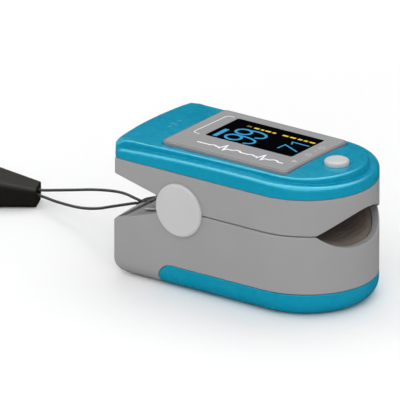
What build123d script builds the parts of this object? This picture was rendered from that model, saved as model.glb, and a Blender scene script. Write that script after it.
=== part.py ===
from build123d import *
import math
import os

os.makedirs("parts", exist_ok=True)

# Fingertip pulse oximeter: a clip of two hinged halves on a common plan outline.
# Frame: millimetres, +Z up, +X towards the finger opening in the round nose,
# +Y to the left when looking along +X, origin on the resting face under the body.

# ---------------------------------------------------------------- plan outline
REAR_X = -29.0          # rearmost point of the body
NOSE_CX = 13.0          # centre of the semicircular nose
HALF_W = 16.0           # half of the body's width, also the nose radius
REAR_R = 62.0           # radius of the shallow arc across the rear
REAR_CORNER = 0.8       # plan radius of the two rear corners
TOP_REAR_R = 80.0       # flatter arc across the rear of the top cover
TOP_REAR_CORNER = 2.6   # plan radius of the top cover's rear corners
BASE_ROUND = 4.2        # round along the bottom edge, all the way round
WALL = 1.6              # moulded wall
SEAM_ROUND = 0.28       # round along the seam between the halves
EDGE_ROUND = 0.15       # round along the shells' other joint edges
MOUTH_ROUND = 0.2       # round along the outer edge of the mouth

# ---------------------------------------------------------------- levels in Z
COVER_GAP = 0.12                        # between battery cover and lower shell
COVER_TOP = 5.45                        # upper edge of the battery cover
LOWER_BASE = COVER_TOP + COVER_GAP      # lower edge of the lower shell above the cover
LOW_DECK_BASE = 12.15                   # floor between batteries and finger pad
LOW_DECK_TOP = 13.25
LOWER_TOP = 18.85                       # lower shell, seam face
UPPER_BASE = LOWER_TOP + 0.2            # upper shell, seam face
UP_DECK_BASE = 24.9                     # floor between finger pad and electronics
UP_DECK_TOP = 26.1
UPPER_TOP = 27.36                       # upper shell, edge under the top cover
CAP_BASE = UPPER_TOP + 0.1              # lower edge of the top cover
LEDGE_TOP = 30.62                       # crown of the ledge round the top cover
PANEL_TOP = 32.05                       # crown of the raised panel
LEDGE_ARCH = (440.0, 5.0)               # lengthwise arch: radius, X of the highest point
PANEL_ARCH = (1300.0, 2.0)

# ---------------------------------------------------------------- hinge and rear faces
PIVOT_X = -9.3
PIVOT_Z = 19.1
PIN_R = 1.0
PIN_HALF = 14.3         # half length of the hinge pin
BOSS_R = 2.8            # boss on the inner side of each hinge cap
BOSS_HOLE_R = 3.05      # hole for that boss in the outer walls
UP_REAR_Z = 24.3        # upper rear face: height at the rear edge
UP_REAR_SLOPE = -0.239  # and slope along +X
LOW_REAR_Z = 12.5       # lower rear face, likewise
LOW_REAR_SLOPE = 0.334
RIM_W = 1.7             # width of the rim at the sides of each rear face
RIM_X = REAR_X + 2.0    # front of that rim's rear bar
PANEL_SINK = 0.6        # depth of the rear panels inside the rim
PANEL_T = 1.2           # thickness of the rear panels
END_WALL = -14.0        # front end of the space behind the rear panels
BAY_REAR = END_WALL + 1.0       # rear end of the hinge bays
WEDGE_HALF = 13.6       # half width of the space behind the rear panels

COIL_R = 1.8            # torsion springs: centre-line radius of the coil
SPRING_WIRE_R = 0.3
COIL_Y = (7.6, 10.6)    # the coils run between these
LEG_END_X = PIVOT_X - 13.0
LEG_UP_Z = (PIVOT_Z + COIL_R, PIVOT_Z + 3.35)       # leg heights at the coil and the end
LEG_LOW_Z = (PIVOT_Z - COIL_R, PIVOT_Z - 4.45)
CHANNEL_HALF = 0.6      # half width of the channels for the spring legs

# ---------------------------------------------------------------- shared fittings
LED_X = 9.0                     # optical axis through the finger
POCKET_GAP = 0.2                # pocket size over the size of what it holds
DETECTOR_BOARD = (12.0, 10.0)   # length along X, width along Y
DETECTOR_WINDOW = (7.0, 6.0)
EMITTER_WINDOW = (6.0, 5.2)
CABLE_SLOT = (-6.9, -5.3, -3.6, 3.6)    # X and Y limits of the ribbon slot in both decks
TRAY_SCREW_X = (-2.0, 16.0)     # screws on the centre line
BOARD_SCREWS = [(x, y) for x in (-16.6, 16.4) for y in (-10.2, 10.2)]
COVER_REAR_X = -15.3            # rear edge of the battery cover along the bottom
COVER_ROUND = 3.9               # quarter round at the cover's rear end
BAR_X = -28.2                   # lanyard crossbar
BAR_Y = -0.8
BAR_Z = 11.35
BAR_R = 0.7


# ================================================================ surfaces and outlines
def upper_rear_z(x):
    return UP_REAR_Z + UP_REAR_SLOPE * (x - REAR_X)


def lower_rear_z(x):
    return LOW_REAR_Z + LOW_REAR_SLOPE * (x - REAR_X)


def arch(crown, bow, x):
    """Height at x of a surface arched lengthwise; bow is (radius, X of highest point)."""
    return crown - bow[0] + math.sqrt(bow[0] ** 2 - (x - bow[1]) ** 2)


def plan(inset=0.0, corner=REAR_CORNER, rear_r=REAR_R):
    """Plan outline of the body, moved inwards by inset."""
    half = HALF_W - inset
    arc_r = rear_r - inset
    corner_x = REAR_X + rear_r - math.sqrt(arc_r**2 - half**2)
    with BuildSketch() as outline:
        with BuildLine():
            ThreePointArc((corner_x, half), (REAR_X + inset, 0), (corner_x, -half))
            Line((corner_x, -half), (NOSE_CX, -half))
            ThreePointArc((NOSE_CX, -half), (NOSE_CX + half, 0), (NOSE_CX, half))
            Line((NOSE_CX, half), (corner_x, half))
        make_face()
        if corner > 0:
            fillet(outline.vertices().group_by(Axis.X)[0], radius=corner)
    return outline.sketch


def keep_ahead_of(x, width=40):
    """Trim the current sketch to a strip of the given width in front of x."""
    with Locations((x + 40, 0)):
        Rectangle(80, width, mode=Mode.INTERSECT)


def side_face(*points):
    """Closed polygon in side view, X across and Z up."""
    with BuildSketch() as polygon:
        with BuildLine():
            Polyline(*points, close=True)
        make_face()
    return polygon.sketch


def rear_strip(surface, x0, x1, offset, z_limit):
    """Side view between a rear face moved by offset and the level z_limit."""
    return side_face(
        (x0, surface(x0) + offset), (x1, surface(x1) + offset), (x1, z_limit), (x0, z_limit)
    )


def leg_channel(leg_z, direction, z_limit):
    """Side view of a spring leg's channel, open from beyond the leg to z_limit."""
    end_x = LEG_END_X - 0.8
    return side_face(
        (PIVOT_X, leg_z[0] + direction * 0.45),
        (end_x, leg_z[1] + direction * 0.5),
        (end_x, z_limit),
        (PIVOT_X, z_limit),
    )


def mouth(grow=0.0):
    """Front view (Y across, Z up) of the finger opening, grown outwards."""
    with BuildSketch() as opening:
        with BuildLine():
            Spline(
                (-11.5 - grow, 18.95),
                (-5.8, 22.1 + grow),
                (0, 23.25 + grow),
                (5.8, 22.1 + grow),
                (11.5 + grow, 18.95),
            )
            Spline(
                (11.5 + grow, 18.95),
                (9.1, 16.95 - grow),
                (5.35, 15.5 - grow),
                (0, 15.15 - grow),
                (-5.35, 15.5 - grow),
                (-9.1, 16.95 - grow),
                (-11.5 - grow, 18.95),
            )
        make_face()
    return opening.sketch


# ================================================================ solids and selectors
def span(side, near, far):
    """Y limits, in rising order, between two distances from the middle on one side."""
    return sorted((side * near, side * far))


def block(x0, x1, y0, y1, z0, z1, mode=Mode.ADD):
    with Locations(((x0 + x1) / 2, (y0 + y1) / 2, (z0 + z1) / 2)):
        Box(x1 - x0, y1 - y0, z1 - z0, mode=mode)


def slab(x, y, size, z0, z1, mode=Mode.ADD):
    """Block centred on (x, y); size is (length along X, width along Y)."""
    with Locations((x, y, (z0 + z1) / 2)):
        Box(size[0], size[1], z1 - z0, mode=mode)


def widened(size, extra):
    return size[0] + extra, size[1] + extra


def rod_y(x, z, r, y0, y1, mode=Mode.ADD):
    with Locations(Location((x, (y0 + y1) / 2, z), (90, 0, 0))):
        Cylinder(r, y1 - y0, mode=mode)


def pivot_rod(r, side, near, far, mode=Mode.ADD):
    """Rod on the hinge axis, on one side of the body."""
    rod_y(PIVOT_X, PIVOT_Z, r, *span(side, near, far), mode=mode)


def rod_z(x, y, r, z0, z1, mode=Mode.ADD):
    with Locations((x, y, (z0 + z1) / 2)):
        Cylinder(r, z1 - z0, mode=mode)


def screw(x, y, shank, head, slot_z):
    """Cross-head screw; shank and head are (radius, lower Z, upper Z)."""
    rod_z(x, y, *shank)
    rod_z(x, y, *head)
    with Locations((x, y, slot_z)):
        Box(1.9, 0.35, 0.4, mode=Mode.SUBTRACT)
        Box(0.35, 1.9, 0.4, mode=Mode.SUBTRACT)


def edges_on(builder, height, tolerance):
    """Edges whose ends all lie at height(x)."""
    return builder.edges().filter_by(
        lambda e: all(abs(v.Z - height(v.X)) < tolerance for v in e.vertices())
    )


def mouth_edges(builder, z_min, z_max):
    """Edges of the mouth on the outer surface of the nose, between two levels."""
    return builder.edges().filter_by(
        lambda e: e.bounding_box().min.X > 24
        and e.bounding_box().min.Z > z_min
        and e.bounding_box().max.Z < z_max
        and abs(math.hypot((e @ 0.5).X - NOSE_CX, (e @ 0.5).Y) - HALF_W) < 0.02
    )


def finger_pad(base, top, pockets, screw_x=()):
    """Soft pad round the finger; pockets on the optical axis are (size, z0, z1)."""
    with BuildPart() as pad:
        with BuildSketch(Plane.XY.offset(base)):
            add(plan(WALL + 0.15))
            keep_ahead_of(-4.1)
        extrude(amount=top - base)
        with BuildSketch(Plane.YZ.offset(-2.4)):
            add(mouth(-0.35))
        extrude(amount=40, mode=Mode.SUBTRACT)
        for size, z0, z1 in pockets:
            slab(LED_X, 0, size, z0, z1, mode=Mode.SUBTRACT)
        for x in screw_x:
            rod_z(x, 0, 1.5, 13, 14.2, mode=Mode.SUBTRACT)
    return pad.part


# ================================================================ lower half
BAY_REAR_X = -25.4      # rear end of the battery bay
BAY_STEP_Z = 2.6        # the bay is narrower below this level
EAR_R = 4.2             # hinge ears beside the side walls
EAR_IN = 12.8

with BuildPart() as lower_shell:
    with BuildSketch():
        add(plan(corner=0))
    extrude(amount=LOWER_TOP)
    fillet(lower_shell.faces().sort_by(Axis.Z)[0].edges(), radius=BASE_ROUND)
    # side view: sloping rear face, step for the battery cover
    step_x = COVER_REAR_X - COVER_GAP
    nose_x = NOSE_CX + HALF_W + 1
    with BuildSketch(Plane.XZ):
        with BuildLine():
            Polyline(
                (REAR_X - 1, lower_rear_z(REAR_X - 1)),
                (REAR_X + (LOWER_TOP - LOW_REAR_Z) / LOW_REAR_SLOPE, LOWER_TOP),
                (nose_x, LOWER_TOP),
                (nose_x, LOWER_BASE),
                (COVER_REAR_X + COVER_ROUND, LOWER_BASE),
            )
            RadiusArc(
                (COVER_REAR_X + COVER_ROUND, LOWER_BASE),
                (step_x, COVER_TOP - COVER_ROUND),
                -(COVER_ROUND + COVER_GAP),
            )
            Polyline(
                (step_x, COVER_TOP - COVER_ROUND),
                (step_x, -1),
                (REAR_X - 1, -1),
                (REAR_X - 1, lower_rear_z(REAR_X - 1)),
            )
        make_face()
    extrude(amount=HALF_W + 1, both=True, mode=Mode.INTERSECT)
    # soften the seam edge, the sloping rear face and the step over the cover
    fillet(
        edges_on(lower_shell, lambda x: min(LOWER_TOP, lower_rear_z(x)), 0.02),
        radius=SEAM_ROUND,
    )
    fillet(edges_on(lower_shell, lambda x: LOWER_BASE, 0.01), radius=EDGE_ROUND)
    # battery bay: under the deck, and behind the cover
    with BuildSketch(Plane.XY.offset(1.2)):
        add(plan(2.35))
        keep_ahead_of(BAY_REAR_X, 2 * (HALF_W - WALL))
    extrude(amount=4, mode=Mode.SUBTRACT)
    with BuildSketch(Plane.XY.offset(BAY_STEP_Z)):
        add(plan(WALL))
        keep_ahead_of(BAY_REAR_X, 2 * (HALF_W - WALL))
    extrude(amount=LOW_DECK_BASE - BAY_STEP_Z, mode=Mode.SUBTRACT)
    # wedge of space between the bay and the sloping rear panel
    with BuildSketch(Plane.XZ):
        add(rear_strip(lower_rear_z, -24.6, END_WALL, -PANEL_SINK - PANEL_T, LOW_DECK_BASE - 0.1))
    extrude(amount=WEDGE_HALF, both=True, mode=Mode.SUBTRACT)
    # hinge bay and finger bay above the deck
    with BuildSketch(Plane.XY.offset(LOW_DECK_TOP)):
        add(plan(WALL))
        keep_ahead_of(BAY_REAR)
    extrude(amount=10, mode=Mode.SUBTRACT)
    # sunk panel on the sloping rear face
    with BuildSketch(Plane.XZ):
        add(rear_strip(lower_rear_z, RIM_X, BAY_REAR, -PANEL_SINK, 25))
    extrude(amount=HALF_W - RIM_W, both=True, mode=Mode.SUBTRACT)
    # mouth for the finger
    with BuildSketch(Plane.YZ.offset(14)):
        add(mouth())
    extrude(amount=20, mode=Mode.SUBTRACT)
    # hinge ears beside the side walls, with holes for the caps' bosses
    for side in (-1, 1):
        block(
            PIVOT_X - EAR_R, PIVOT_X + EAR_R, *span(side, EAR_IN, 14.5), 13.0, LOWER_TOP - 0.3
        )
        pivot_rod(EAR_R, side, EAR_IN, 14.3)
        pivot_rod(BOSS_R + 0.05, side, 12, 14.4, mode=Mode.SUBTRACT)
        pivot_rod(BOSS_HOLE_R, side, 14.35, 17, mode=Mode.SUBTRACT)
    # channels for the lower spring legs
    for side in (-1, 1):
        with BuildSketch(Plane.XZ.offset(-side * COIL_Y[1])):
            add(leg_channel(LEG_LOW_Z, -1, 25))
        extrude(amount=CHANNEL_HALF, both=True, mode=Mode.SUBTRACT)
    # pocket and crossbar for the lanyard near the middle of the rear edge
    rod_y(BAR_X, BAR_Z, 1.85, BAR_Y - 2.9, BAR_Y + 2.9, mode=Mode.SUBTRACT)
    rod_y(BAR_X, BAR_Z, BAR_R, BAR_Y - 3.1, BAR_Y + 3.1)
    # slot for the ribbon cable, holes for the screws that hold the battery tray
    block(*CABLE_SLOT, 10, 14, mode=Mode.SUBTRACT)
    for x in TRAY_SCREW_X:
        rod_z(x, 0, 0.8, 11, 14, mode=Mode.SUBTRACT)
    fillet(mouth_edges(lower_shell, 14.9, LOWER_TOP - 0.01), radius=MOUTH_ROUND)

lower_pad = finger_pad(
    LOW_DECK_TOP + 0.05,
    LOWER_TOP - 0.1,
    pockets=(
        (widened(DETECTOR_WINDOW, POCKET_GAP), 13, 18),
        (widened(DETECTOR_BOARD, POCKET_GAP), 13, 14.05),
    ),
    screw_x=TRAY_SCREW_X,
)

DETECTOR_BOARD_TOP = LOW_DECK_TOP + 0.7
with BuildPart() as detector_board:
    slab(LED_X, 0, DETECTOR_BOARD, LOW_DECK_TOP + 0.05, DETECTOR_BOARD_TOP)
    with Locations((LED_X, 0, DETECTOR_BOARD_TOP)):
        with GridLocations(10.4, 8.4, 2, 2):
            Hole(radius=0.4)

with BuildPart() as photodiode:
    slab(LED_X, 0, (4.4, 3.8), 13.97, 14.45)
    chamfer(photodiode.faces().sort_by(Axis.Z)[-1].edges(), length=0.12)

with BuildPart() as detector_window:
    slab(LED_X, 0, DETECTOR_WINDOW, 14.5, 15.3)
    fillet(detector_window.edges().filter_by(Axis.Z), radius=1.2)
    fillet(detector_window.faces().sort_by(Axis.Z)[-1].edges(), radius=0.25)

# ================================================================ batteries
CELL_R = 5.25
CELL_LEN = 44.5
CELL_X = -23.2          # rear end of both cells
CELL_Y = 5.75
CELL_Z = 6.8
PIP_R = 1.9             # positive pip
PIP_LEN = 0.9
TRAY_BASE = 2.3
TRAY_TOP = LOW_DECK_BASE - 0.05
# openings on each side of the tray: rear X, front X, inner and outer distance in Y
TRAY_OPENINGS = (
    (-23.6, 21.7, 0.4, 11.3),
    (-24.4, 23.2, 1.6, 9.2),
)
CONTACT_T = 0.12        # contact plates
REAR_CONTACT_X = -24.38     # rear faces of the plates at the two ends
FRONT_CONTACT_X = 22.98
REAR_PIP_LEN = 0.6
FRONT_PIP_LEN = 0.8

with BuildPart() as battery_tray:
    with BuildSketch(Plane.XY.offset(TRAY_BASE)):
        add(plan(2.45))
        with Locations((-0.6, 0)):
            Rectangle(49.2, 24.6, mode=Mode.INTERSECT)
    extrude(amount=TRAY_TOP - TRAY_BASE)
    for side in (-1, 1):
        for x0, x1, y_in, y_out in TRAY_OPENINGS:
            block(x0, x1, *span(side, y_in, y_out), 2, 11.3, mode=Mode.SUBTRACT)
        with Locations(Location((-0.95, side * CELL_Y, CELL_Z), (0, 90, 0))):
            Cylinder(CELL_R + 0.12, 45.3, mode=Mode.SUBTRACT)
    # notch at the rear for the cover's latch tongue
    block(-24.4, -22.8, -1.7, 1.7, 2, 3.4, mode=Mode.SUBTRACT)
    for x in TRAY_SCREW_X:
        rod_z(x, 0, 0.9, 1, 14, mode=Mode.SUBTRACT)
        rod_z(x, 0, 1.6, 1, 11.25, mode=Mode.SUBTRACT)


def cell(start_x, y, direction):
    """AAA cell along X from its negative end: can and positive pip."""
    base = Plane(origin=(start_x, y, CELL_Z), x_dir=(0, 1, 0), z_dir=(direction, 0, 0))
    sunk = 0.3      # the pip starts this far inside the can
    with BuildPart() as battery:
        with BuildSketch(base):
            Circle(CELL_R)
        extrude(amount=CELL_LEN - PIP_LEN)
        fillet(battery.edges().filter_by(GeomType.CIRCLE), radius=0.35)
        with BuildSketch(base.offset(CELL_LEN - PIP_LEN - sunk)):
            Circle(PIP_R)
        extrude(amount=PIP_LEN + sunk)
    return battery.part


battery_a = cell(CELL_X, CELL_Y, 1)
battery_b = cell(CELL_X + CELL_LEN, -CELL_Y, -1)

# conical contact springs at the two negative ends
with BuildPart() as battery_springs:
    for x, y, direction in ((-24.1, CELL_Y, 1), (22.85, -CELL_Y, -1)):
        with BuildLine() as wire:
            Helix(
                pitch=0.36,
                height=0.66,
                radius=2.6,
                center=(x, y, CELL_Z),
                direction=(direction, 0, 0),
                cone_angle=-38,
            )
        with BuildSketch(Plane(origin=wire.line @ 0, z_dir=wire.line % 0)):
            Circle(0.13)
        sweep(path=wire.line)

with BuildPart() as battery_plates:
    for x in (REAR_CONTACT_X, FRONT_CONTACT_X):
        for y in (CELL_Y, -CELL_Y):
            block(x, x + CONTACT_T, y - 3.3, y + 3.3, 3.2, 10.6)
    # raised contact pips at the two positive ends
    for x, y, length in (
        (REAR_CONTACT_X + CONTACT_T + REAR_PIP_LEN / 2, -CELL_Y, REAR_PIP_LEN),
        (FRONT_CONTACT_X - FRONT_PIP_LEN / 2, CELL_Y, FRONT_PIP_LEN),
    ):
        with Locations(Location((x, y, CELL_Z), (0, 90, 0))):
            Cylinder(1.4, length)

with BuildPart() as lower_screws:
    for x in TRAY_SCREW_X:
        screw(x, 0, shank=(0.75, 10.5, 13.9), head=(1.35, 10.35, 11.2), slot_z=10.5)

TONGUE_HALF = 1.6       # half width of the cover's latch tongue
GRIP_X = 14.5           # rearmost groove of the thumb grip
GRIP_PITCH = 1.7

with BuildPart() as battery_cover:
    with BuildSketch():
        add(plan(corner=0))
    extrude(amount=COVER_TOP)
    fillet(battery_cover.faces().sort_by(Axis.Z)[0].edges(), radius=BASE_ROUND)
    with BuildSketch(Plane.XZ):
        with BuildLine():
            Polyline(
                (COVER_REAR_X, COVER_TOP - COVER_ROUND),
                (COVER_REAR_X, -1),
                (30, -1),
                (30, COVER_TOP),
                (COVER_REAR_X + COVER_ROUND, COVER_TOP),
            )
            RadiusArc(
                (COVER_REAR_X + COVER_ROUND, COVER_TOP),
                (COVER_REAR_X, COVER_TOP - COVER_ROUND),
                -COVER_ROUND,
            )
        make_face()
    extrude(amount=HALF_W + 1, both=True, mode=Mode.INTERSECT)
    fillet(edges_on(battery_cover, lambda x: COVER_TOP, 0.01), radius=EDGE_ROUND)
    with BuildSketch(Plane.XY.offset(1.2)):
        add(plan(2.2))
    extrude(amount=6, mode=Mode.SUBTRACT)
    # latch tongue that hooks over the heel of the lower shell
    block(COVER_REAR_X - 2.2, COVER_REAR_X + 4, -TONGUE_HALF, TONGUE_HALF, 1.24, 2.0)
    block(COVER_REAR_X - 0.02, COVER_REAR_X + 4, -TONGUE_HALF, TONGUE_HALF, 1.0, 1.4)
    # thumb grip: five grooves across the underside
    for i in range(5):
        rod_y(GRIP_X + GRIP_PITCH * i, -0.15, 0.55, -5.2, 5.2, mode=Mode.SUBTRACT)

# ================================================================ hinge
HINGE_CAP_R = 6.08
HINGE_CAP_T = 0.9
HINGE_CAP_Y = HALF_W + 0.03     # inner face of the cap's disc
COIL_TURNS = 4.5
COIL_STEPS = 24                 # points per turn on the coil's centre line

with BuildPart() as hinge_pin:
    rod_y(PIVOT_X, PIVOT_Z, PIN_R, -PIN_HALF, PIN_HALF)
    chamfer(hinge_pin.edges().filter_by(GeomType.CIRCLE), length=0.25)


def hinge_cap(side):
    """Round cap on the body's side, with a boss that sits on the end of the pin."""
    face = Plane(
        origin=(PIVOT_X, side * HINGE_CAP_Y, PIVOT_Z), x_dir=(1, 0, 0), z_dir=(0, side, 0)
    )
    with BuildPart() as cap:
        with BuildSketch(face):
            Circle(HINGE_CAP_R)
        extrude(amount=HINGE_CAP_T)
        outer_face = cap.faces().sort_by(Axis.Y)[-1 if side > 0 else 0]
        fillet(outer_face.edges(), radius=0.75)
        with BuildSketch(face):
            Circle(BOSS_R)
        extrude(amount=-(HINGE_CAP_Y - 12.85))
        pivot_rod(PIN_R + 0.02, side, 12, 14.6, mode=Mode.SUBTRACT)
    return cap.part


def torsion_spring(side):
    """Coil round the hinge pin; one leg bears on each half's rear panel."""
    y_up, y_low = side * COIL_Y[0], side * COIL_Y[1]
    # coil centre line, from the top round to the bottom
    count = int(COIL_TURNS * COIL_STEPS)
    points = []
    for i in range(count + 1):
        angle = math.radians(90.0 - 360.0 * i / COIL_STEPS)
        y = y_up + (y_low - y_up) * i / count
        points.append(
            (PIVOT_X + COIL_R * math.cos(angle), y, PIVOT_Z + COIL_R * math.sin(angle))
        )
    with BuildPart() as spring:
        with BuildLine() as path:
            Spline(*points)
        with BuildSketch(Plane(origin=path.line @ 0, z_dir=path.line % 0)):
            Circle(SPRING_WIRE_R)
        sweep(path=path.line)
        for y, (coil_z, end_z) in ((y_up, LEG_UP_Z), (y_low, LEG_LOW_Z)):
            leg_start = (PIVOT_X + 0.1, y, coil_z)
            with BuildLine() as leg:
                Line(leg_start, (LEG_END_X, y, end_z))
            with BuildSketch(Plane(origin=leg_start, z_dir=leg.line % 0)):
                Circle(SPRING_WIRE_R)
            sweep(path=leg.line)
    return spring.part


# side view of the cable's centre line: X, Z
CABLE_RUN = ((-6.1, 12.25), (-6.1, 14.2), (-5.7, 19.2), (-6.1, 24.2), (-6.1, 26.6))
with BuildPart() as ribbon_cable:
    with BuildSketch(Plane.XZ):
        with BuildLine():
            Spline(*CABLE_RUN)
        trace(line_width=0.22)
    extrude(amount=3.0, both=True)

# ================================================================ upper half
BEARING_R = 2.9         # bearing ears on the pin
BEARING_IN = 11.1
BEARING_OUT = 12.6
BOARD_BASE = 27.6       # main board
BOARD_TOP = BOARD_BASE + 0.8
BOARD_SEAT = BOARD_BASE - 0.05      # top of the screw bosses and of the chips

with BuildPart() as upper_shell:
    with BuildSketch(Plane.XY.offset(UPPER_BASE)):
        add(plan())
    extrude(amount=UPPER_TOP - UPPER_BASE)
    # side view: sloping rear face
    with BuildSketch(Plane.XZ):
        add(
            side_face(
                (REAR_X - 1, upper_rear_z(REAR_X - 1)),
                (REAR_X + (UPPER_BASE - UP_REAR_Z) / UP_REAR_SLOPE, UPPER_BASE),
                (31, UPPER_BASE),
                (31, UPPER_TOP),
                (REAR_X - 1, UPPER_TOP),
            )
        )
    extrude(amount=HALF_W + 1, both=True, mode=Mode.INTERSECT)
    # soften the seam edge, the sloping rear face and the upper edge
    fillet(
        edges_on(upper_shell, lambda x: max(UPPER_BASE, upper_rear_z(x)), 0.02),
        radius=SEAM_ROUND,
    )
    fillet(upper_shell.faces().sort_by(Axis.Z)[-1].edges(), radius=EDGE_ROUND)
    # electronics bay above the deck
    with BuildSketch(Plane.XY.offset(UP_DECK_TOP)):
        add(plan(WALL))
    extrude(amount=5, mode=Mode.SUBTRACT)
    # finger bay and hinge bay under the deck
    with BuildSketch(Plane.XY.offset(UPPER_BASE - 1)):
        add(plan(WALL))
        keep_ahead_of(BAY_REAR)
    extrude(amount=UP_DECK_BASE - UPPER_BASE + 1, mode=Mode.SUBTRACT)
    # wedge of space above the sloping rear panel
    with BuildSketch(Plane.XZ):
        add(rear_strip(upper_rear_z, -23.5, END_WALL, PANEL_SINK + PANEL_T, UP_DECK_BASE))
    extrude(amount=WEDGE_HALF, both=True, mode=Mode.SUBTRACT)
    # sunk panel on the sloping rear face
    with BuildSketch(Plane.XZ):
        add(rear_strip(upper_rear_z, RIM_X, BAY_REAR, PANEL_SINK, 15))
    extrude(amount=HALF_W - RIM_W, both=True, mode=Mode.SUBTRACT)
    # mouth for the finger
    with BuildSketch(Plane.YZ.offset(14)):
        add(mouth())
    extrude(amount=20, mode=Mode.SUBTRACT)
    for side in (-1, 1):
        # bearing ear on the pin, hung from the deck
        block(
            PIVOT_X - BEARING_R,
            PIVOT_X + BEARING_R,
            *span(side, BEARING_IN, BEARING_OUT),
            PIVOT_Z,
            UP_DECK_BASE + 0.2,
        )
        pivot_rod(BEARING_R, side, BEARING_IN, BEARING_OUT)
        pivot_rod(PIN_R + 0.05, side, 11, 12.7, mode=Mode.SUBTRACT)
        # the cap's boss passes through the outer wall
        pivot_rod(BOSS_HOLE_R, side, 14.3, 17, mode=Mode.SUBTRACT)
        # channel for the upper spring leg
        with BuildSketch(Plane.XZ.offset(-side * COIL_Y[0])):
            add(leg_channel(LEG_UP_Z, 1, 15))
        extrude(amount=CHANNEL_HALF, both=True, mode=Mode.SUBTRACT)
    # screw bosses under the main board
    for x, y in BOARD_SCREWS:
        rod_z(x, y, 1.9, UP_DECK_TOP - 0.1, BOARD_SEAT)
        rod_z(x, y, 0.76, UP_DECK_BASE + 0.3, 28, mode=Mode.SUBTRACT)
    # openings in the deck for the light source and the ribbon cable
    slab(LED_X, 0, EMITTER_WINDOW, 24, 27, mode=Mode.SUBTRACT)
    block(*CABLE_SLOT, 24, 27, mode=Mode.SUBTRACT)
    fillet(mouth_edges(upper_shell, UPPER_BASE + 0.01, 23.5), radius=MOUTH_ROUND)

upper_pad = finger_pad(
    UPPER_BASE + 0.1,
    UP_DECK_BASE - 0.05,
    pockets=((widened(EMITTER_WINDOW, POCKET_GAP), 20, 26),),
)

with BuildPart() as emitter_window:
    slab(LED_X, 0, EMITTER_WINDOW, 22.75, 24.3)
    fillet(emitter_window.edges().filter_by(Axis.Z), radius=1.0)
    fillet(emitter_window.faces().sort_by(Axis.Z)[0].edges(), radius=0.25)

LED_BASE = 25.0
with BuildPart() as led_emitter:
    slab(LED_X, 0, (3.6, 3.0), LED_BASE, 26.1)
    with Locations((LED_X - 0.7, 0, LED_BASE), (LED_X + 0.7, 0, LED_BASE)):
        Sphere(0.5)

with BuildPart() as emitter_board:
    slab(LED_X, 0, (10.0, 8.0), 26.13, 26.6)

# ================================================================ electronics
# chips and a cable socket under the main board: centre X, Y, length, width, height
CHIPS = (
    (-14.0, 2.5, 7.0, 7.0, 1.0),
    (-11.5, -6.2, 5.0, 3.9, 0.9),
    (-1.5, 6.5, 3.0, 5.0, 0.95),
    (-1.2, -6.8, 2.2, 4.4, 0.8),
    (19.0, 0.0, 3.2, 5.6, 1.0),
    (-4.3, 0.0, 1.5, 7.6, 1.1),
)
DISPLAY_CX = 0.17
DISPLAY_LEN = 26.7
DISPLAY_BASE = BOARD_TOP + 0.05
DISPLAY_STEP_Z = DISPLAY_BASE + 0.75    # the display is narrower above this level
WINDOW_CX = 0.05                        # display window
WINDOW_CY = 2.75
WINDOW_SIZE = (23.2, 12.5)
BUTTON_X = 21.2
BUTTON_R = 2.75
BUTTON_BASE = 29.72
BUTTON_TOP = arch(PANEL_TOP, PANEL_ARCH, BUTTON_X) + 0.95

with BuildPart() as main_board:
    with BuildSketch(Plane.XY.offset(BOARD_BASE)):
        add(plan(2.9))
        with Locations(*BOARD_SCREWS):
            Circle(0.9, mode=Mode.SUBTRACT)
        with Locations((-6.1, 0)):
            Rectangle(1.2, 7.0, mode=Mode.SUBTRACT)
    extrude(amount=BOARD_TOP - BOARD_BASE)

with BuildPart() as board_chips:
    for x, y, length, width, height in CHIPS:
        slab(x, y, (length, width), BOARD_SEAT - height, BOARD_SEAT)

with BuildPart() as upper_screws:
    for x, y in BOARD_SCREWS:
        screw(x, y, shank=(0.72, 25.4, 28.6), head=(1.45, 28.45, 29.1), slot_z=28.95)

with BuildPart() as oled_display:
    with BuildSketch(Plane.XY.offset(DISPLAY_BASE)):
        with Locations((DISPLAY_CX, 2.1)):
            Rectangle(DISPLAY_LEN, 19.2)
    extrude(amount=DISPLAY_STEP_Z - DISPLAY_BASE)
    with BuildSketch(Plane.XY.offset(DISPLAY_STEP_Z)):
        with Locations((DISPLAY_CX, 3.3)):
            Rectangle(DISPLAY_LEN, 16.4)
    extrude(amount=0.68)

with BuildPart() as display_gasket:
    with BuildSketch(Plane.XY.offset(29.92)):
        with Locations((DISPLAY_CX, WINDOW_CY)):
            RectangleRounded(25.6, 15.0, 0.8)
            RectangleRounded(23.4, 12.8, 0.5, mode=Mode.SUBTRACT)
    extrude(amount=0.4)

with BuildPart() as switch_body:
    slab(BUTTON_X, 0, (3.8, 3.8), BOARD_TOP + 0.03, 29.38)
    chamfer(switch_body.edges().filter_by(Axis.Z), length=0.3)
    rod_z(BUTTON_X, 0, 0.8, 28.6, 30, mode=Mode.SUBTRACT)

with BuildPart() as switch_plunger:
    rod_z(BUTTON_X, 0, 0.75, 28.95, 29.7)

with BuildPart() as power_button:
    rod_z(BUTTON_X, 0, BUTTON_R, BUTTON_BASE, BUTTON_TOP)
    fillet(power_button.faces().sort_by(Axis.Z)[-1].edges(), radius=0.6)
    # flange that holds the button under the cover
    rod_z(BUTTON_X, 0, 3.2, BUTTON_BASE, BUTTON_BASE + 0.22)

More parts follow.
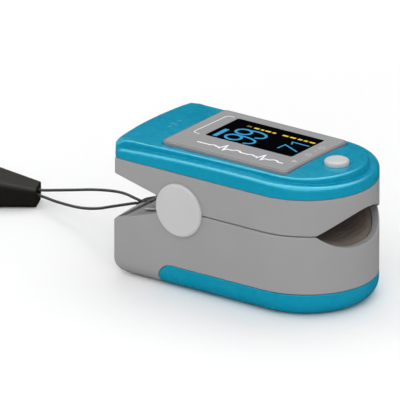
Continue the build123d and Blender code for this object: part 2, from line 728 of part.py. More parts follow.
# ================================================================ top cover
PANEL_CAMBER = 154.0        # radius of the panel's crosswise dome
PANEL_REAR_HALF = 14.0      # half width of the panel at the rear
PANEL_NOSE_HALF = 13.0      # and at the nose
PANEL_NOSE_CX = 13.97       # centre of the panel's round nose
PANEL_BACK = 0.04           # panel's rear edge in front of the cover's
FLARE_HALF = 15.6           # half width of the flare at the rear corners
FLARE_LEN = 4.6
TOP_REAR_ROUND = 1.8        # round over the top cover's rear edge
LEDGE_ROUND = 1.1           # round along the ledge's outer edge
LIP_BASE = 26.6             # locating lip inside the upper shell
LIP_INSET = WALL + 0.85     # inner face of the lip
PLATE_CX = -0.7             # face plate
PLATE_SIZE = (33.2, 23.6)
PLATE_BASE = 30.98
PLATE_TOP = 32.30


def panel_plan():
    """Plan outline of the raised panel: it narrows forwards, and at the rear it
    flares out to the full width so that the ledge dies away at the corners."""
    slim = PANEL_NOSE_HALF
    rear_r = TOP_REAR_R - PANEL_BACK
    corner_x = REAR_X + TOP_REAR_R - math.sqrt(rear_r**2 - FLARE_HALF**2)
    x = corner_x + FLARE_LEN
    slope = (slim - PANEL_REAR_HALF) / (PANEL_NOSE_CX - REAR_X - 2)
    y = PANEL_REAR_HALF + slope * (x - REAR_X - 2)
    with BuildSketch() as outline:
        with BuildLine():
            ThreePointArc(
                (corner_x, FLARE_HALF), (REAR_X + PANEL_BACK, 0), (corner_x, -FLARE_HALF)
            )
            Spline((corner_x, -FLARE_HALF), (x, -y), tangents=((0.8, 1.0), (1.0, -slope)))
            Line((x, -y), (PANEL_NOSE_CX, -slim))
            ThreePointArc(
                (PANEL_NOSE_CX, -slim), (PANEL_NOSE_CX + slim, 0), (PANEL_NOSE_CX, slim)
            )
            Line((PANEL_NOSE_CX, slim), (x, y))
            Spline((x, y), (corner_x, FLARE_HALF), tangents=((-1.0, -slope), (-0.8, 1.0)))
        make_face()
    return outline.sketch


def rear_round():
    """Side view of everything in front of the top cover's rounded rear edge."""
    top = arch(PANEL_TOP, PANEL_ARCH, REAR_X)
    radius = TOP_REAR_ROUND
    with BuildSketch() as profile:
        with BuildLine():
            Line((REAR_X, 20), (REAR_X, top - radius))
            RadiusArc((REAR_X, top - radius), (REAR_X + radius, top), radius)
            Polyline(
                (REAR_X + radius, top),
                (REAR_X + radius + 1, top + 0.35),
                (REAR_X + radius + 1, 36),
                (REAR_X + TOP_REAR_R, 36),
                (REAR_X + TOP_REAR_R, 20),
                (REAR_X, 20),
            )
        make_face()
    return profile.sketch


def arch_side(crown, bow):
    """Side view (X across, Z up) of everything under an arched surface, down to Z 20."""
    rear_z, front_z = arch(crown, bow, -40), arch(crown, bow, 40)
    with BuildSketch() as profile:
        with BuildLine():
            ThreePointArc((-40, rear_z), (bow[1], crown), (40, front_z))
            Polyline((40, front_z), (40, 20.0), (-40, 20.0), (-40, rear_z))
        make_face()
    return profile.sketch


# raised panel of the top cover, before it is joined to the ledge
with BuildPart() as panel_blank:
    with BuildSketch(Plane.XY.offset(28.5)):
        add(panel_plan())
    extrude(amount=6)
    with BuildSketch(Plane.XZ):
        add(arch_side(PANEL_TOP, PANEL_ARCH))
    revolve(axis=Axis((0, 0, PANEL_TOP - PANEL_CAMBER), (1, 0, 0)), mode=Mode.INTERSECT)
    fillet(panel_blank.faces().sort_by(Axis.Z)[-1].edges(), radius=0.5)
    # the flared corners fall away outwards to the level of the ledge
    for side in (-1, 1):
        with BuildSketch(Plane(origin=(-27.4, 13.3 * side, 31.05), z_dir=(-0.22, 0.674 * side, 1))):
            Rectangle(24, 24)
        extrude(amount=6, mode=Mode.SUBTRACT)
    # rounded rear corners and rear edge
    with BuildSketch(Plane.XY.offset(28)):
        add(plan(PANEL_BACK, corner=TOP_REAR_CORNER, rear_r=TOP_REAR_R))
    extrude(amount=7, mode=Mode.INTERSECT)
    with BuildSketch(Plane.XZ):
        add(rear_round())
    revolve(axis=Axis((REAR_X + TOP_REAR_R, 0, 0), (0, 0, 1)), mode=Mode.INTERSECT)

with BuildPart() as top_cover:
    with BuildSketch(Plane.XY.offset(CAP_BASE)):
        add(plan(corner=TOP_REAR_CORNER, rear_r=TOP_REAR_R))
    extrude(amount=6)
    with BuildSketch(Plane.XZ):
        add(arch_side(LEDGE_TOP, LEDGE_ARCH))
    extrude(amount=20, both=True, mode=Mode.INTERSECT)
    fillet(top_cover.faces().sort_by(Axis.Z)[-1].edges(), radius=LEDGE_ROUND)
    fillet(top_cover.faces().sort_by(Axis.Z)[0].edges(), radius=0.18)
    add(panel_blank.part)
    # hollow: deep under the panel, shallow under the ledge
    with BuildSketch(Plane.XY.offset(CAP_BASE - 1)):
        add(plan(WALL))
    extrude(amount=28.6 - CAP_BASE + 1, mode=Mode.SUBTRACT)
    with BuildSketch(Plane.XY.offset(28)):
        add(plan(3.7))
    extrude(amount=2.0, mode=Mode.SUBTRACT)
    block(-14.3, 14.4, -8.4, 12.0, 28, 30.34, mode=Mode.SUBTRACT)
    # locating lip inside the upper shell, and the flange that joins it to the cover
    with BuildSketch(Plane.XY.offset(LIP_BASE)):
        add(plan(WALL + 0.08))
        add(plan(LIP_INSET), mode=Mode.SUBTRACT)
    extrude(amount=CAP_BASE + 0.4 - LIP_BASE)
    with BuildSketch(Plane.XY.offset(CAP_BASE + 0.1)):
        add(plan(WALL - 0.2))
        add(plan(LIP_INSET), mode=Mode.SUBTRACT)
    extrude(amount=0.5)
    # recess for the face plate, light opening, button hole
    with BuildSketch(Plane.XY.offset(PLATE_BASE - 0.03)):
        with Locations((PLATE_CX, 0)):
            RectangleRounded(*widened(PLATE_SIZE, 0.36), 1.35)
    extrude(amount=5, mode=Mode.SUBTRACT)
    slab(WINDOW_CX, WINDOW_CY, widened(WINDOW_SIZE, -1.2), 29, 33, mode=Mode.SUBTRACT)
    rod_z(BUTTON_X, 0, BUTTON_R + 0.12, 29, 33, mode=Mode.SUBTRACT)

with BuildPart() as face_plate:
    with BuildSketch(Plane.XY.offset(PLATE_BASE)):
        with Locations((PLATE_CX, 0)):
            RectangleRounded(*PLATE_SIZE, 1.2)
    extrude(amount=PLATE_TOP - PLATE_BASE)
    fillet(face_plate.faces().sort_by(Axis.Z)[-1].edges(), radius=0.25)
    with BuildSketch(Plane.XY.offset(30)):
        with Locations((WINDOW_CX, WINDOW_CY)):
            RectangleRounded(*WINDOW_SIZE, 0.5)
    extrude(amount=5, mode=Mode.SUBTRACT)

with BuildPart() as display_window:
    with BuildSketch(Plane.XY.offset(PLATE_BASE)):
        with Locations((WINDOW_CX, WINDOW_CY)):
            RectangleRounded(*widened(WINDOW_SIZE, -0.06), 0.47)
    extrude(amount=PLATE_TOP - 0.05 - PLATE_BASE)

# ================================================================ lanyard
KNOT_R = 1.18           # centre-line radius of the turns round the crossbar
KNOT_PITCH = 1.9
CORD_R = 0.36
# centre line of the doubled cord, from ferrule to knot and back: X, Y, Z
CORD_RUN = (
    (-68.6, 9.0, 3.0),
    (-65.5, 9.0, 3.35),
    (-55.8, 6.0, 6.5),
    (-44.9, 2.2, 10.2),
    (-36.6, -0.4, 12.25),
    (-31.3, -2.0, 12.5),
    (-30.65, -2.55, 12.2),
    (-31.3, -3.1, 11.7),
    (-37.5, -1.6, 9.2),
    (-44.5, 1.5, 6.1),
    (-51.0, 3.9, 4.1),
    (-58.6, 6.3, 2.9),
    (-65.4, 8.1, 2.5),
    (-68.3, 8.0, 2.5),
)
FERRULE_SMALL = (6.0, 4.3)      # width and height of the small end
FERRULE_BIG = (12.4, 7.3)
FERRULE_LEN = 14.0

with BuildPart() as lanyard_knot:
    for y in (BAR_Y - KNOT_PITCH, BAR_Y, BAR_Y + KNOT_PITCH):
        with Locations(Location((BAR_X, y, BAR_Z), (90, 0, 0))):
            Torus(KNOT_R, CORD_R)
    # the bight that crosses behind the turns
    rod_y(BAR_X - KNOT_R - 0.25, BAR_Z + 0.2, 0.45, BAR_Y - 2.4, BAR_Y + 2.3)

with BuildPart() as lanyard_cord:
    with BuildLine() as run:
        Spline(*CORD_RUN)
    with BuildSketch(Plane(origin=run.line @ 0, z_dir=run.line % 0)):
        Circle(CORD_R)
    sweep(path=run.line)

# tapered ferrule: a rectangular frustum lying on its broad side
small_end = Plane(origin=(-66.0, 8.9, 0.15), x_dir=(0.42, -0.91, 0), z_dir=(-0.91, -0.42, 0.0))
with BuildPart() as lanyard_ferrule:
    with BuildSketch(small_end):
        with Locations((0, FERRULE_SMALL[1] / 2)):
            RectangleRounded(*FERRULE_SMALL, 0.9)
    with BuildSketch(small_end.offset(FERRULE_LEN)):
        with Locations((0, FERRULE_BIG[1] / 2)):
            RectangleRounded(*FERRULE_BIG, 1.5)
    loft()
    # cord hole in the small end, strap socket in the big end
    with BuildSketch(small_end):
        with Locations((0, FERRULE_SMALL[1] / 2 + 0.1)):
            RectangleRounded(3.0, 1.9, 0.9)
    extrude(amount=4, mode=Mode.SUBTRACT)
    with BuildSketch(small_end.offset(FERRULE_LEN - 6)):
        with Locations((0, FERRULE_BIG[1] / 2 - 0.35)):
            RectangleRounded(8.0, 3.4, 1.2)
    extrude(amount=7, mode=Mode.SUBTRACT)

# ================================================================ files
PIECES = {
    "lower_shell": lower_shell.part,
    "lower_pad": lower_pad,
    "detector_board": detector_board.part,
    "photodiode": photodiode.part,
    "detector_window": detector_window.part,
    "battery_tray": battery_tray.part,
    "battery_a": battery_a,
    "battery_b": battery_b,
    "battery_springs": battery_springs.part,
    "battery_plates": battery_plates.part,
    "lower_screws": lower_screws.part,
    "battery_cover": battery_cover.part,
    "hinge_pin": hinge_pin.part,
    "hinge_cap_left": hinge_cap(1),
    "hinge_cap_right": hinge_cap(-1),
    "torsion_spring_left": torsion_spring(1),
    "torsion_spring_right": torsion_spring(-1),
    "ribbon_cable": ribbon_cable.part,
    "upper_shell": upper_shell.part,
    "upper_pad": upper_pad,
    "emitter_window": emitter_window.part,
    "led_emitter": led_emitter.part,
    "emitter_board": emitter_board.part,
    "main_board": main_board.part,
    "board_chips": board_chips.part,
    "upper_screws": upper_screws.part,
    "oled_display": oled_display.part,
    "display_gasket": display_gasket.part,
    "switch_body": switch_body.part,
    "switch_plunger": switch_plunger.part,
    "power_button": power_button.part,
    "top_cover": top_cover.part,
    "face_plate": face_plate.part,
    "display_window": display_window.part,
    "lanyard_knot": lanyard_knot.part,
    "lanyard_cord": lanyard_cord.part,
    "lanyard_ferrule": lanyard_ferrule.part,
}
for name, piece in PIECES.items():
    piece.label = name
    export_step(piece, f"parts/{name}.step")
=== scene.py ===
"""Fingertip pulse oximeter: two clip halves on a hinge, with a lanyard.

The finger goes in at +X, the nose. The hinge and lanyard lie towards -X, the rear.
+Z is up, and the display faces up. The CAD is in metres. Sizes here are in millimetres
unless a comment says metres, and MM converts them.
"""

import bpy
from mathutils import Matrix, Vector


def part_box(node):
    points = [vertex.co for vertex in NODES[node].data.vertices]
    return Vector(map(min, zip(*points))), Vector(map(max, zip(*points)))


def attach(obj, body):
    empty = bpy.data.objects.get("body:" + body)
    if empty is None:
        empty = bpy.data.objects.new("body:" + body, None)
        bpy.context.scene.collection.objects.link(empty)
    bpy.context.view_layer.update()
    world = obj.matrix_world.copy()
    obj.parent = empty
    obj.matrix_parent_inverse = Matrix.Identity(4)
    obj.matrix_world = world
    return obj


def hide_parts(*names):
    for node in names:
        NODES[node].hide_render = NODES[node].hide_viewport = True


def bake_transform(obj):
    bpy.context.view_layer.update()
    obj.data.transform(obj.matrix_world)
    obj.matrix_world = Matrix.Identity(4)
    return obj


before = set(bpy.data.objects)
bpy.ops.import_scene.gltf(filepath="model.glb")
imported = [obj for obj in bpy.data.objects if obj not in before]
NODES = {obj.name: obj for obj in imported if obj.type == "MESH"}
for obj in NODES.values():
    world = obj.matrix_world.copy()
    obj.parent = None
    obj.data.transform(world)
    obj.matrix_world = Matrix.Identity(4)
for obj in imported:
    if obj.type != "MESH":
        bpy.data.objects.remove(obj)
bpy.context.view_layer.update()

import math

import bmesh
import bpy
import numpy as np
from mathutils import Vector
from mathutils.bvhtree import BVHTree

MM = 0.001
scene = bpy.context.scene


# ------------------------------------------------------------------ colour
def srgb(red, green, blue):
    """Display colour 0..255 to linear RGBA."""
    linear = []
    for c in (red, green, blue):
        c = c / 255.0
        linear.append(c / 12.92 if c <= 0.04045 else ((c + 0.055) / 1.055) ** 2.4)
    return (*linear, 1.0)


def shade(colour, gain):
    """The colour made darker or lighter by a factor."""
    return (*(min(1, c * gain) for c in colour[:3]), 1.0)


# ------------------------------------------------------------------ material builder
class Mat:
    """A node material written a line at a time, in millimetres in the part's frame."""

    def __init__(self, name):
        self.material = bpy.data.materials.new(name)
        self.material.use_nodes = True
        self.tree = self.material.node_tree
        self.tree.nodes.clear()
        output = self.node("ShaderNodeOutputMaterial")
        self.bsdf = self.node("ShaderNodeBsdfPrincipled")
        self.link(self.bsdf.outputs[0], output.inputs[0])
        coords = self.node("ShaderNodeTexCoord")
        scaled = self.node("ShaderNodeVectorMath", operation="SCALE")
        scaled.inputs["Scale"].default_value = 1 / MM
        self.link(coords.outputs["Object"], scaled.inputs[0])
        self.mm = scaled.outputs[0]

    def node(self, kind, **settings):
        node = self.tree.nodes.new(kind)
        for key, value in settings.items():
            setattr(node, key, value)
        return node

    def link(self, output, socket):
        self.tree.links.new(output, socket)

    def put(self, socket, value):
        """Link a socket's value, or set a constant."""
        if isinstance(value, bpy.types.NodeSocket):
            self.link(value, socket)
        else:
            socket.default_value = value

    def noise(self, scale, detail=3.0, rough=0.55, vec=None, distortion=0.0):
        node = self.node("ShaderNodeTexNoise")
        self.link(vec or self.mm, node.inputs["Vector"])
        node.inputs["Scale"].default_value = scale
        node.inputs["Detail"].default_value = detail
        node.inputs["Roughness"].default_value = rough
        node.inputs["Distortion"].default_value = distortion
        return node.outputs[0]

    def voronoi(self, scale):
        node = self.node("ShaderNodeTexVoronoi")
        self.link(self.mm, node.inputs["Vector"])
        node.inputs["Scale"].default_value = scale
        return node.outputs[0]

    def math(self, operation, a, b=0.0, c=0.0, clamp=False):
        node = self.node("ShaderNodeMath", operation=operation)
        node.use_clamp = clamp
        for socket, value in zip(node.inputs, (a, b, c)):
            self.put(socket, value)
        return node.outputs[0]

    def times(self, a, b):
        return self.math("MULTIPLY", a, b)

    def wave(self, coordinate, rate):
        """Sine along a coordinate, rate in radians per millimetre."""
        return self.math("SINE", self.times(coordinate, rate))

    def ramp(self, value, span=(0.3, 0.7), to=(0.0, 1.0)):
        """Maps span to another range. The default span is where most noise falls."""
        node = self.node("ShaderNodeMapRange")
        node.inputs["From Min"].default_value, node.inputs["From Max"].default_value = span
        node.inputs["To Min"].default_value, node.inputs["To Max"].default_value = to
        self.put(node.inputs["Value"], value)
        return node.outputs[0]

    def mix(self, factor, a, b):
        node = self.node("ShaderNodeMix", data_type="RGBA")
        self.put(node.inputs[0], factor)
        self.put(node.inputs[6], a)
        self.put(node.inputs[7], b)
        return node.outputs[2]

    def mottle(self, value, colour, dark, light):
        """A colour that drifts between two gains with a noise."""
        return self.mix(self.ramp(value), shade(colour, dark), shade(colour, light))

    def xyz(self):
        node = self.node("ShaderNodeSeparateXYZ")
        self.link(self.mm, node.inputs[0])
        return node.outputs

    def stretched(self, scale):
        """Coordinates scaled by axis, for streaks."""
        node = self.node("ShaderNodeMapping")
        self.link(self.mm, node.inputs["Vector"])
        node.inputs["Scale"].default_value = scale
        return node.outputs[0]

    def bevel(self, radius):
        """Normal rounded over the edges."""
        node = self.node("ShaderNodeBevel", samples=4)
        node.inputs["Radius"].default_value = radius * MM
        return node.outputs[0]

    def edge(self, radius):
        """1 on convex and concave edges and 0 on flats, with the rounded normal."""
        rounded = self.bevel(radius)
        geometry = self.node("ShaderNodeNewGeometry")
        dot = self.node("ShaderNodeVectorMath", operation="DOT_PRODUCT")
        self.link(rounded, dot.inputs[0])
        self.link(geometry.outputs["Normal"], dot.inputs[1])
        return self.ramp(dot.outputs["Value"], span=(0.995, 0.86)), rounded

    def edge_wear_and_highlight(self, colour, radius, strength, to):
        """Blends edges towards another colour, used both as wear and as a painted highlight; also
        gives the rounded normal.
        """
        edge, rounded = self.edge(radius)
        return self.mix(self.times(edge, strength), colour, to), rounded

    def bump(self, height, depth, strength=1.0, normal=None):
        node = self.node("ShaderNodeBump")
        node.inputs["Strength"].default_value = strength
        node.inputs["Distance"].default_value = depth * MM
        self.link(height, node.inputs["Height"])
        if normal is not None:
            self.link(normal, node.inputs["Normal"])
        return node.outputs[0]

    def set(self, **inputs):
        """Sets shader inputs by name, with _ for a space."""
        for key, value in inputs.items():
            self.put(self.bsdf.inputs[key.replace("_", " ")], value)


# ------------------------------------------------------------------ mesh helpers
def add_mesh(name, verts, faces, sharp=35.0):
    """Mesh object from millimetres. Smooth up to the sharp angle; flat if that is None."""
    mesh = bpy.data.meshes.new(name)
    mesh.from_pydata([(x * MM, y * MM, z * MM) for x, y, z in verts], [], faces)
    mesh.validate()
    mesh.update()
    if sharp is not None:
        for polygon in mesh.polygons:
            polygon.use_smooth = True
        mesh.set_sharp_from_angle(angle=math.radians(sharp))
    made = bpy.data.objects.new(name, mesh)
    scene.collection.objects.link(made)
    return made


def dress(made, material):
    made.data.materials.append(material)


def catmull(points, step):
    """Smooth curve through 3D points, resampled at about step; also the arc lengths."""
    p = np.array(points, float)
    p = np.vstack([2 * p[0] - p[1], p, 2 * p[-1] - p[-2]])
    curve = []
    for i in range(1, len(p) - 2):
        a, b, c, d = p[i - 1], p[i], p[i + 1], p[i + 2]
        count = max(2, int(np.linalg.norm(c - b) / step * 3))
        for t in np.linspace(0, 1, count, endpoint=False):
            curve.append(0.5 * ((2 * b) + (-a + c) * t + (2 * a - 5 * b + 4 * c - d) * t**2
                                + (-a + 3 * b - 3 * c + d) * t**3))
    curve.append(p[-2])
    curve = np.array(curve)
    length = np.r_[0, np.cumsum(np.linalg.norm(np.diff(curve, axis=0), axis=1))]
    keep = np.r_[True, np.diff(length) > 1e-9]
    curve, length = curve[keep], length[keep]
    count = max(4, int(round(length[-1] / step)))
    even = np.linspace(0, length[-1], count + 1)
    return np.stack([np.interp(even, length, curve[:, k]) for k in range(3)], 1), even


def path_normals(path):
    """Two crossed normals carried along a path without twist."""
    tangent = np.gradient(path, axis=0)
    tangent /= np.linalg.norm(tangent, axis=1)[:, None]
    side = np.array([0, 0, 1.0]) if abs(tangent[0][2]) < 0.9 else np.array([1.0, 0, 0])
    normal = np.cross(tangent[0], side)
    normal /= np.linalg.norm(normal)
    normals = [normal]
    for i in range(1, len(path)):
        normal = normals[-1] - np.dot(normals[-1], tangent[i]) * tangent[i]
        normals.append(normal / np.linalg.norm(normal))
    normals = np.array(normals)
    return normals, np.cross(tangent, normals)


def tube(path, radius, sides):
    """Round capped tube along a path."""
    n, b = path_normals(path)
    a = np.linspace(0, 2 * math.pi, sides, endpoint=False)
    ring = (n[:, None, :] * np.cos(a)[None, :, None] + b[:, None, :] * np.sin(a)[None, :, None])
    verts = (path[:, None, :] + ring * radius).reshape(-1, 3)
    faces = []
    for i in range(len(path) - 1):
        here, there = i * sides, (i + 1) * sides
        for k in range(sides):
            k2 = (k + 1) % sides
            faces.append((here + k, here + k2, there + k2, there + k))
    faces.append(tuple(reversed(range(sides))))
    faces.append(tuple(range((len(path) - 1) * sides, len(path) * sides)))
    return verts, faces


class Soup:
    """Collects several closed shapes into one mesh."""

    def __init__(self):
        self.verts, self.faces = [], []

    def add(self, verts, faces):
        start = len(self.verts)
        self.verts.extend([tuple(p) for p in verts])
        self.faces.extend([tuple(i + start for i in face) for face in faces])

    def add_mesh(self, name, **settings):
        return add_mesh(name, self.verts, self.faces, **settings)


def box_mm(node):
    low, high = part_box(node)
    return np.array(low) / MM, np.array(high) / MM


def clamp01(value):
    return max(0.0, min(1.0, value))


# ------------------------------------------------------------------ materials
PLATE = srgb(136, 136, 137)


def moulded(name, colour, rough, grain, depth, edge_gain, edge_mm=0.16, spec=0.5, cloud=0.05,
            tint=None):
    """Injection-moulded plastic: drifting tone, spark-eroded grain, edges lightened partly as
    rubbed wear and partly as a painted highlight.

    grain is the noise scale, depth its relief, and cloud the spread of the tone.
    """
    m = Mat(name)
    big = m.noise(scale=0.11, detail=3.0, rough=0.6)
    fine = m.noise(scale=grain, detail=4.0, rough=0.62)
    pits = m.voronoi(scale=grain * 0.55)
    tone = m.mottle(big, colour, dark=1 - cloud, light=1 + cloud)
    specks = m.ramp(fine, span=(0.35, 0.7), to=(0.0, 0.35))
    tone = m.mix(specks, tone, shade(colour, 1 - 2.2 * cloud))
    # edges lighter in patches by edge_gain: partly rubbed wear, partly a painted highlight along
    # the edges
    edge, rounded = m.edge(edge_mm)
    patches = m.noise(scale=0.9, detail=4.0, rough=0.65)
    wear_and_highlight = m.times(edge, m.ramp(patches, span=(0.25, 0.6), to=(0.35, 1.0)))
    tone = m.mix(m.times(wear_and_highlight, 0.8), tone, shade(colour, edge_gain))
    roughness = m.math("ADD", m.ramp(big, to=(rough - 0.03, rough + 0.04)),
                       m.times(m.ramp(fine), 0.06))
    roughness = m.math("SUBTRACT", roughness, m.times(wear_and_highlight, 0.06))
    relief = m.math("ADD", m.times(fine, 0.7), m.times(pits, 0.5))
    m.set(Base_Color=tone, Roughness=roughness, Specular_IOR_Level=spec,
          Normal=m.bump(relief, depth=depth, normal=rounded))
    if tint:
        m.set(Specular_Tint=tint)
    return m.material


def plate_material():
    """Printed satin plate: very fine brushed grain along X under a matt varnish, with a painted
    highlight along its edges.
    """
    m = Mat("plate_print")
    brush = m.noise(scale=1.0, detail=4.0, rough=0.6, vec=m.stretched((0.5, 14.0, 1.0)))
    speck = m.noise(scale=16.0, detail=2.0, rough=0.5)
    colour = m.mottle(brush, PLATE, dark=0.965, light=1.035)
    colour = m.mix(m.ramp(speck, span=(0.55, 0.8), to=(0.0, 0.35)), colour, shade(PLATE, 1.15))
    # painted highlight: the plate's edges are blended lighter
    colour, rounded = m.edge_wear_and_highlight(colour, radius=0.12, strength=0.6, to=shade(PLATE, 1.18))
    roughness = m.math("ADD", m.ramp(brush, to=(0.38, 0.47)), m.times(speck, 0.05))
    m.set(Base_Color=colour, Roughness=roughness, Specular_IOR_Level=0.35,
          Normal=m.bump(brush, depth=0.003, strength=0.8, normal=rounded))
    return m.material


def window_material():
    """Smoked polished lens over an unlit display."""
    m = Mat("window_smoke")
    x, y, _ = m.xyz()
    grid = m.times(m.wave(x, rate=34.0), m.wave(y, rate=34.0))
    colour = m.mix(m.ramp(grid, span=(0.2, 1.0), to=(0.0, 0.5)), srgb(2, 2, 4), srgb(6, 6, 8))
    smear = m.noise(scale=0.35, detail=4.0, rough=0.6, distortion=1.2)
    m.set(Base_Color=colour, Roughness=m.ramp(smear, span=(0.35, 0.75), to=(0.06, 0.16)),
          Normal=m.bump(m.noise(scale=0.6, detail=1.0), depth=0.002, strength=0.4),
          Specular_IOR_Level=0.05)
    return m.material


def lit_material(name, colour, power):
    """Lit display segment: emission with the fine cell structure of a dot display."""
    m = Mat(name)
    x, y, _ = m.xyz()
    columns = m.ramp(m.wave(x, rate=36.0), span=(-1, 1), to=(0.82, 1.0))
    rows = m.ramp(m.wave(y, rate=36.0), span=(-1, 1), to=(0.82, 1.0))
    cell = m.times(columns, rows)
    drift = m.ramp(m.noise(scale=0.5, detail=2.0), to=(0.94, 1.05))
    m.set(Base_Color=shade(colour, 0.05), Roughness=0.35, Emission_Color=colour,
          Emission_Strength=m.times(m.times(cell, drift), power))
    return m.material


def print_and_shade_material(name, colour, under=PLATE):
    """Screen-printed ink, also used for one painted shade line: slightly uneven coverage over what
    is under it.
    """
    m = Mat(name)
    cover = m.noise(scale=9.0, detail=4.0, rough=0.7)
    cover = m.ramp(cover, span=(0.25, 0.6), to=(0.82, 1.0))
    m.set(Base_Color=m.mix(cover, under, colour),
          Roughness=m.ramp(m.noise(scale=5.0), to=(0.42, 0.58)),
          Normal=m.bump(m.noise(scale=12.0), depth=0.004, strength=0.8))
    return m.material


def rubber_material():
    """Warm black silicone: matt, with a fine bead-blasted grain and a little bloom."""
    base = srgb(112, 100, 92)
    m = Mat("pad_rubber")
    big = m.noise(scale=0.25, detail=4.0, rough=0.6)
    fine = m.noise(scale=11.0, detail=4.0, rough=0.65)
    beads = m.voronoi(scale=7.0)
    colour = m.mottle(big, base, dark=0.86, light=1.08)
    colour = m.mix(m.ramp(fine, span=(0.5, 0.8), to=(0.0, 0.6)), colour, shade(base, 1.35))
    colour, rounded = m.edge_wear_and_highlight(colour, radius=0.3, strength=0.35, to=shade(base, 1.5))
    roughness = m.ramp(fine, to=(0.62, 0.82))
    relief = m.math("ADD", fine, m.times(beads, 0.6))
    m.set(Base_Color=colour, Roughness=roughness, Specular_IOR_Level=0.3, Sheen_Weight=0.08,
          Normal=m.bump(relief, depth=0.02, strength=0.9, normal=rounded))
    return m.material


def metal_material(name, colour, rough=0.28):
    """Drawn or rolled metal: streaks along the work, small stains."""
    m = Mat(name)
    streak = m.noise(scale=1.0, detail=5.0, rough=0.65, vec=m.stretched((1, 30, 1)))
    stain = m.noise(scale=0.8, detail=4.0, rough=0.6)
    tone = m.mottle(streak, colour, dark=0.86, light=1.08)
    tone = m.mix(m.ramp(stain, span=(0.55, 0.8), to=(0.0, 0.35)), tone, shade(colour, 0.62))
    tone, rounded = m.edge_wear_and_highlight(tone, radius=0.08, strength=0.5, to=shade(colour, 1.2))
    m.set(Base_Color=tone, Metallic=1.0, Roughness=m.ramp(streak, to=(rough - 0.05, rough + 0.12)),
          Normal=m.bump(streak, depth=0.004, strength=0.6, normal=rounded))
    return m.material


def cell_material():
    """Printed film on a battery: dark body, pale band, bare rims, all round the can."""
    m = Mat("cell_wrap")
    x = m.xyz()[0]

    def band(centre, half):
        return m.math("COMPARE", x, centre, half)

    colour = m.mottle(m.noise(scale=0.5), srgb(28, 44, 84), dark=0.9, light=1.15)
    colour = m.mix(band(centre=-1.0, half=5.0), colour, srgb(206, 206, 210))
    lines = m.math("ADD", band(centre=-7.2, half=0.35), band(centre=5.2, half=0.35), clamp=True)
    colour = m.mix(lines, colour, srgb(214, 150, 40))
    # the can is centred at x = -0.95; film covers 21.2 mm each way
    bare = m.math("GREATER_THAN", m.math("ABSOLUTE", m.math("ADD", x, 0.95)), 21.2)
    colour = m.mix(bare, colour, srgb(150, 150, 154))
    scuff = m.ramp(m.noise(scale=4.0, detail=5.0, rough=0.7), span=(0.62, 0.75))
    colour = m.mix(m.times(scuff, 0.3), colour, (0.5, 0.5, 0.5, 1))
    rounded = m.bevel(0.15)
    m.set(Base_Color=colour, Metallic=m.times(bare, 0.9),
          Roughness=m.ramp(m.noise(scale=2.0), to=(0.22, 0.34)),
          Normal=m.bump(m.noise(scale=3.0), depth=0.01, strength=0.5, normal=rounded))
    return m.material


def board_material():
    """Circuit board: solder mask, tracks, pads."""
    m = Mat("circuit_board")
    mask = srgb(20, 92, 52)
    tracks = m.node("ShaderNodeTexBrick", offset=0.37)
    m.link(m.mm, tracks.inputs["Vector"])
    for key, value in (("Scale", 0.55), ("Mortar Size", 0.035), ("Color1", (0, 0, 0, 1)),
                       ("Color2", (0, 0, 0, 1)), ("Mortar", (1, 1, 1, 1))):
        tracks.inputs[key].default_value = value
    via = m.ramp(m.voronoi(scale=0.5), span=(0.10, 0.14), to=(1.0, 0.0))
    colour = m.mottle(m.noise(scale=0.6), mask, dark=0.85, light=1.12)
    colour = m.mix(tracks.outputs[0], colour, shade(mask, 1.7))
    colour = m.mix(via, colour, srgb(206, 180, 110))
    m.set(Base_Color=colour, Roughness=m.ramp(m.noise(scale=6.0), to=(0.28, 0.42)),
          Metallic=m.times(via, 0.8), Normal=m.bump(tracks.outputs[0], depth=0.02, strength=0.5))
    return m.material


def lens_material():
    """Clear moulded lens with flow marks."""
    m = Mat("clear_lens")
    flow = m.noise(scale=1.2, rough=0.6, distortion=0.8)
    m.set(Base_Color=m.mix(m.ramp(flow), srgb(176, 164, 158), srgb(206, 196, 190)),
          Roughness=m.ramp(flow, to=(0.10, 0.22)), Normal=m.bump(flow, depth=0.01, strength=0.5),
          Transmission_Weight=0.55, IOR=1.49)
    return m.material


def cord_material():
    """Black polyester cord: thread lines across each ply, slight sheen."""
    base = srgb(16, 15, 16)
    m = Mat("cord_black")
    thread = m.noise(scale=7.0, detail=4.0, rough=0.7)
    colour = m.mix(m.ramp(thread, span=(0.35, 0.7)), shade(base, 0.7), shade(base, 1.7))
    m.set(Base_Color=colour, Roughness=m.ramp(thread, to=(0.55, 0.8)),
          Normal=m.bump(thread, depth=0.03, strength=0.9), Sheen_Weight=0.06, Sheen_Roughness=0.5)
    return m.material


def flex_material():
    """Amber flexible circuit with copper lines along its length."""
    m = Mat("flex_amber")
    y = m.xyz()[1]
    line = m.ramp(m.wave(y, rate=9.4), span=(0.1, 0.35))
    m.set(Base_Color=m.mix(line, srgb(168, 96, 26), srgb(206, 132, 58)),
          Roughness=m.ramp(m.noise(scale=2.0), to=(0.25, 0.4)),
          Normal=m.bump(line, depth=0.01, strength=0.6), Coat_Weight=0.4)
    return m.material


